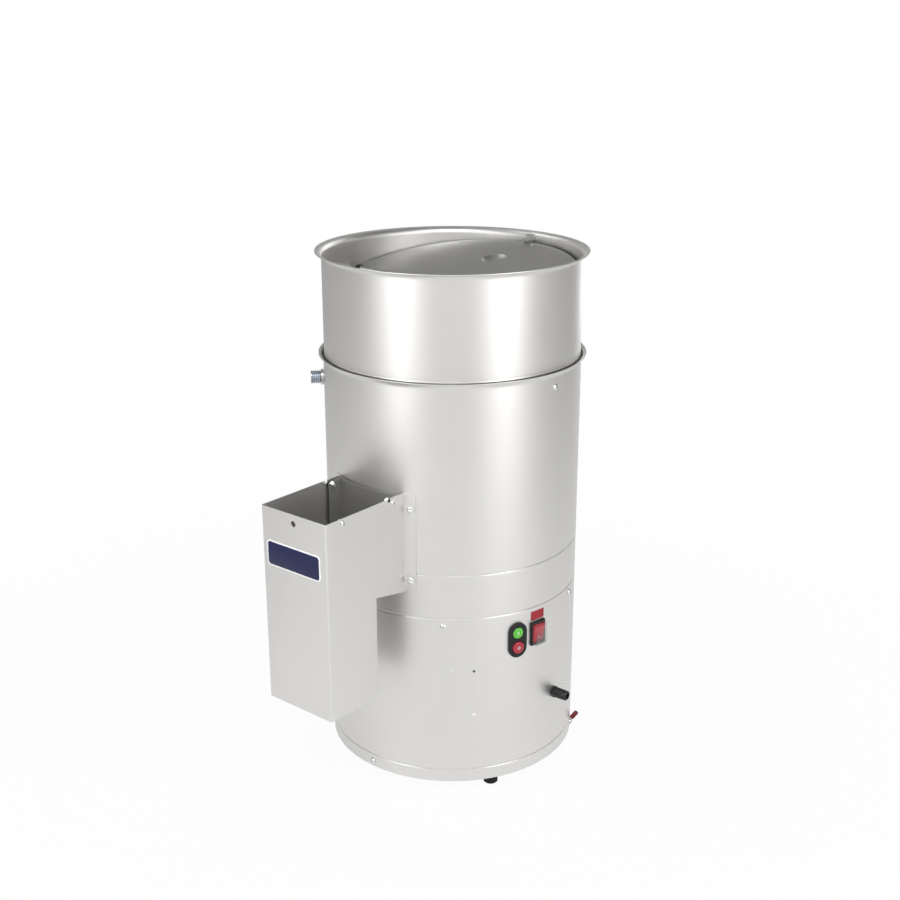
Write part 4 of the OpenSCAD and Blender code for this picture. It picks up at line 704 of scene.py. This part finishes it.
def softened(node, radius, slot, body, segments=2, smooth=35):
    fresh()
    copy = bpy.data.objects.new(node + "_soft", nodes[node].data.copy())
    bpy.context.scene.collection.objects.link(copy)
    edit(copy, "VERT")
    bpy.ops.mesh.select_all(action="SELECT")
    bpy.ops.mesh.remove_doubles(threshold=SAME_PLACE)
    bpy.ops.mesh.dissolve_limited(angle_limit=FLAT_TURN)
    bpy.ops.mesh.normals_make_consistent(inside=False)
    fresh()
    apply(copy, "BEVEL", width=radius, segments=segments, limit_method="ANGLE",
          angle_limit=SHARP_TURN, use_clamp_overlap=True)
    finish_piece(copy, node + "_soft", body, nodes[node].data.materials[0], None, smooth)
    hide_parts(node)


SOFT = [
    ("button_bezel", 0.0012, "black_plastic", "housing"),
    ("rocker_housing", 0.0007, "black_plastic", "housing"),
    ("green_button", 0.0006, "green_plastic", "start_button"),
    ("red_button", 0.0007, "red_plastic", "stop_button"),
    ("rocker", 0.0004, "red_plastic", "mains_rocker"),
    ("name_plate", 0.0002, "blue_plate", "housing"),
    ("chute", 0.0003, "stainless", "housing", 1, 20),
    ("cable_gland", 0.0003, "black_plastic", "housing"),
    ("gland_nut", 0.0003, "black_plastic", "housing"),
]
for piece in SOFT:
    softened(*piece)

# %% [markdown]
# ## The floor
# The photo shows a white floor on a white background, with hardly any shadow. To the camera the floor is
# nearly all glow, which leaves a trace of the shadow and grows to plain white far away. To metal it is a
# bright pool round the peeler that falls off with distance: the low shells mirror the near floor and the
# tube mirrors the far floor, which is why the tube's sides are the darkest metal in the photo.

# %% Floor
FLOOR_SIZE = 24
FLOOR_GREY, FLOOR_GLOW, GLOW_GROWTH = 0.80, 0.95, 0.03
POOL_SHINE, POOL_FALL, FAR_SHARE = 0.62, 0.13, 0.35
fresh()
bpy.ops.mesh.primitive_plane_add(size=FLOOR_SIZE, location=(0, 0, 0))
floor = bpy.context.object
floor.name = "floor"


def stage_material(name):
    grey = rgb(FLOOR_GREY, FLOOR_GREY, FLOOR_GREY)
    g = Graph(name, Roughness=0.9, Base_Color=grey)
    x, y, z = g.split(g.place())
    far = (x * x + y * y).root()
    glow = g.seen_plainly() * (FLOOR_GLOW + far * GLOW_GROWTH).least(1.0)
    mirrored = g.add("ShaderNodeLightPath", out="Is Glossy Ray")
    pool = (POOL_SHINE - far * POOL_FALL).most(POOL_SHINE * FAR_SHARE) * mirrored
    white = g.add("ShaderNodeEmission", {}, {"Color": rgb(1, 1, 1)})
    lit = Sock(g, g.shader.outputs[0])
    g.link(g.output, "Surface", g.add("ShaderNodeMixShader", {}, {0: glow.most(pool), 1: lit, 2: white}))
    return g.material


floor.data.materials.append(stage_material("floor_white"))
print("floor ready")

# %% [markdown]
# ## The room
# The world is white to the camera and to clear plastic. To metal and to matt surfaces it is a bright band
# along the horizon that fades out overhead, as a studio's white walls do below a dark ceiling. So the flap
# and the inside of the tube stay darker than the shells.

# %% World
WALL_LIGHT, CEILING_LIGHT, WALL_TOP = 0.75, 0.10, math.radians(30)
world = bpy.data.worlds.new("studio")
bpy.context.scene.world = world
world.use_nodes = True
sky = Tree(world.node_tree)
across, along, up = sky.split(sky.add("ShaderNodeTexCoord", out="Generated"))
fade = {"Value": up.math("ARCSINE"), "From Min": 0.0, "From Max": WALL_TOP,
        "To Min": WALL_LIGHT, "To Max": CEILING_LIGHT}
strength = sky.add("ShaderNodeMapRange", {}, fade)
walls = sky.add("ShaderNodeBackground", {}, {"Color": rgb(1.0, 0.99, 0.97), "Strength": strength})
white = sky.add("ShaderNodeBackground", {}, {"Color": rgb(1, 1, 1), "Strength": 1.0})
both = sky.add("ShaderNodeMixShader", {}, {0: sky.seen_plainly(), 1: walls, 2: white})
sky.node("ShaderNodeOutputWorld", {}, {"Surface": both})
print("world ready")

# %% [markdown]
# ## The lamps
# Two tall soft lamps stand at the left and the right of the camera, which is what makes the two bright bands
# on the round shells, and a weak one between them lifts the middle. One hangs high in front. The rest stand
# behind and at the left, and keep the shells' far sides from going flat. Turns are counted from the camera's
# side. A lamp either stands at the peeler's own height or hangs above it: the pair of numbers for that is its
# distance from the drum's axis and its height.

# %% Lamps
CAMERA_AZIMUTH = -50.718
AIM_HEIGHT = 0.40
STANDING, HANGING = (1.9, 0.95), (1.5, 2.3)
LAMPS = [
    ("lamp_left", -43, STANDING, (0.85, 1.7), 12.1),
    ("lamp_right", 44, STANDING, (0.85, 1.7), 13.3),
    ("lamp_front", 0, STANDING, (0.6, 1.7), 1.2),
    ("lamp_front_high", 0, HANGING, (1.0, 1.0), 27.0),
    ("lamp_left_high", -120, HANGING, (0.9, 0.9), 8.0),
    ("lamp_back_high", 180, HANGING, (0.9, 0.9), 1.5),
    ("lamp_back_right", 150, STANDING, (0.6, 1.7), 8.0),
]


def lamp(name, turn, stand, size, power):
    """A soft lamp at a distance and a height, turned from the camera's side by so many degrees."""
    a = math.radians(CAMERA_AZIMUTH + turn)
    distance, height = stand
    place = AXIS + Vector((math.cos(a) * distance, math.sin(a) * distance, height))
    data = bpy.data.lights.new(name, "AREA")
    data.shape = "RECTANGLE"
    data.size, data.size_y = size
    data.energy = power
    thing = bpy.data.objects.new(name, data)
    bpy.context.scene.collection.objects.link(thing)
    look = AXIS + Vector((0, 0, AIM_HEIGHT)) - place
    thing.rotation_euler = look.to_track_quat("-Z", "Y").to_euler()
    thing.location = place
    thing.visible_camera = False


for row in LAMPS:
    lamp(*row)
print(len(LAMPS), "lamps ready")

# %% [markdown]
# ## The camera
# The camera stands where the photo was taken from: 1.86 m from the drum's axis and 1.1 m above the floor,
# looking down by 18.7 degrees through a 53 mm lens.

# %% Camera
LENS, SENSOR = 53.18, 36
SHIFT_PIXELS, PHOTO_WIDTH = -2.334, 900
CAMERA_DISTANCE, CAMERA_HEIGHT, CAMERA_PITCH = 1.8606, 1.0975, 18.730
camera_data = bpy.data.cameras.new("camera")
camera_data.lens = LENS
camera_data.sensor_width = SENSOR
camera_data.shift_x = SHIFT_PIXELS / PHOTO_WIDTH
camera = bpy.data.objects.new("camera", camera_data)
bpy.context.scene.collection.objects.link(camera)
stand = math.radians(CAMERA_AZIMUTH)
place = Vector((math.cos(stand) * CAMERA_DISTANCE, math.sin(stand) * CAMERA_DISTANCE, CAMERA_HEIGHT))
camera.location = AXIS + place
pitch = math.radians(CAMERA_PITCH)
aim = Vector((-math.cos(stand) * math.cos(pitch), -math.sin(stand) * math.cos(pitch), -math.sin(pitch)))
camera.rotation_euler = aim.to_track_quat("-Z", "Y").to_euler()
bpy.context.scene.camera = camera
bpy.context.scene.view_settings.view_transform = "Standard"
print("camera at", [round(v, 3) for v in camera.location])
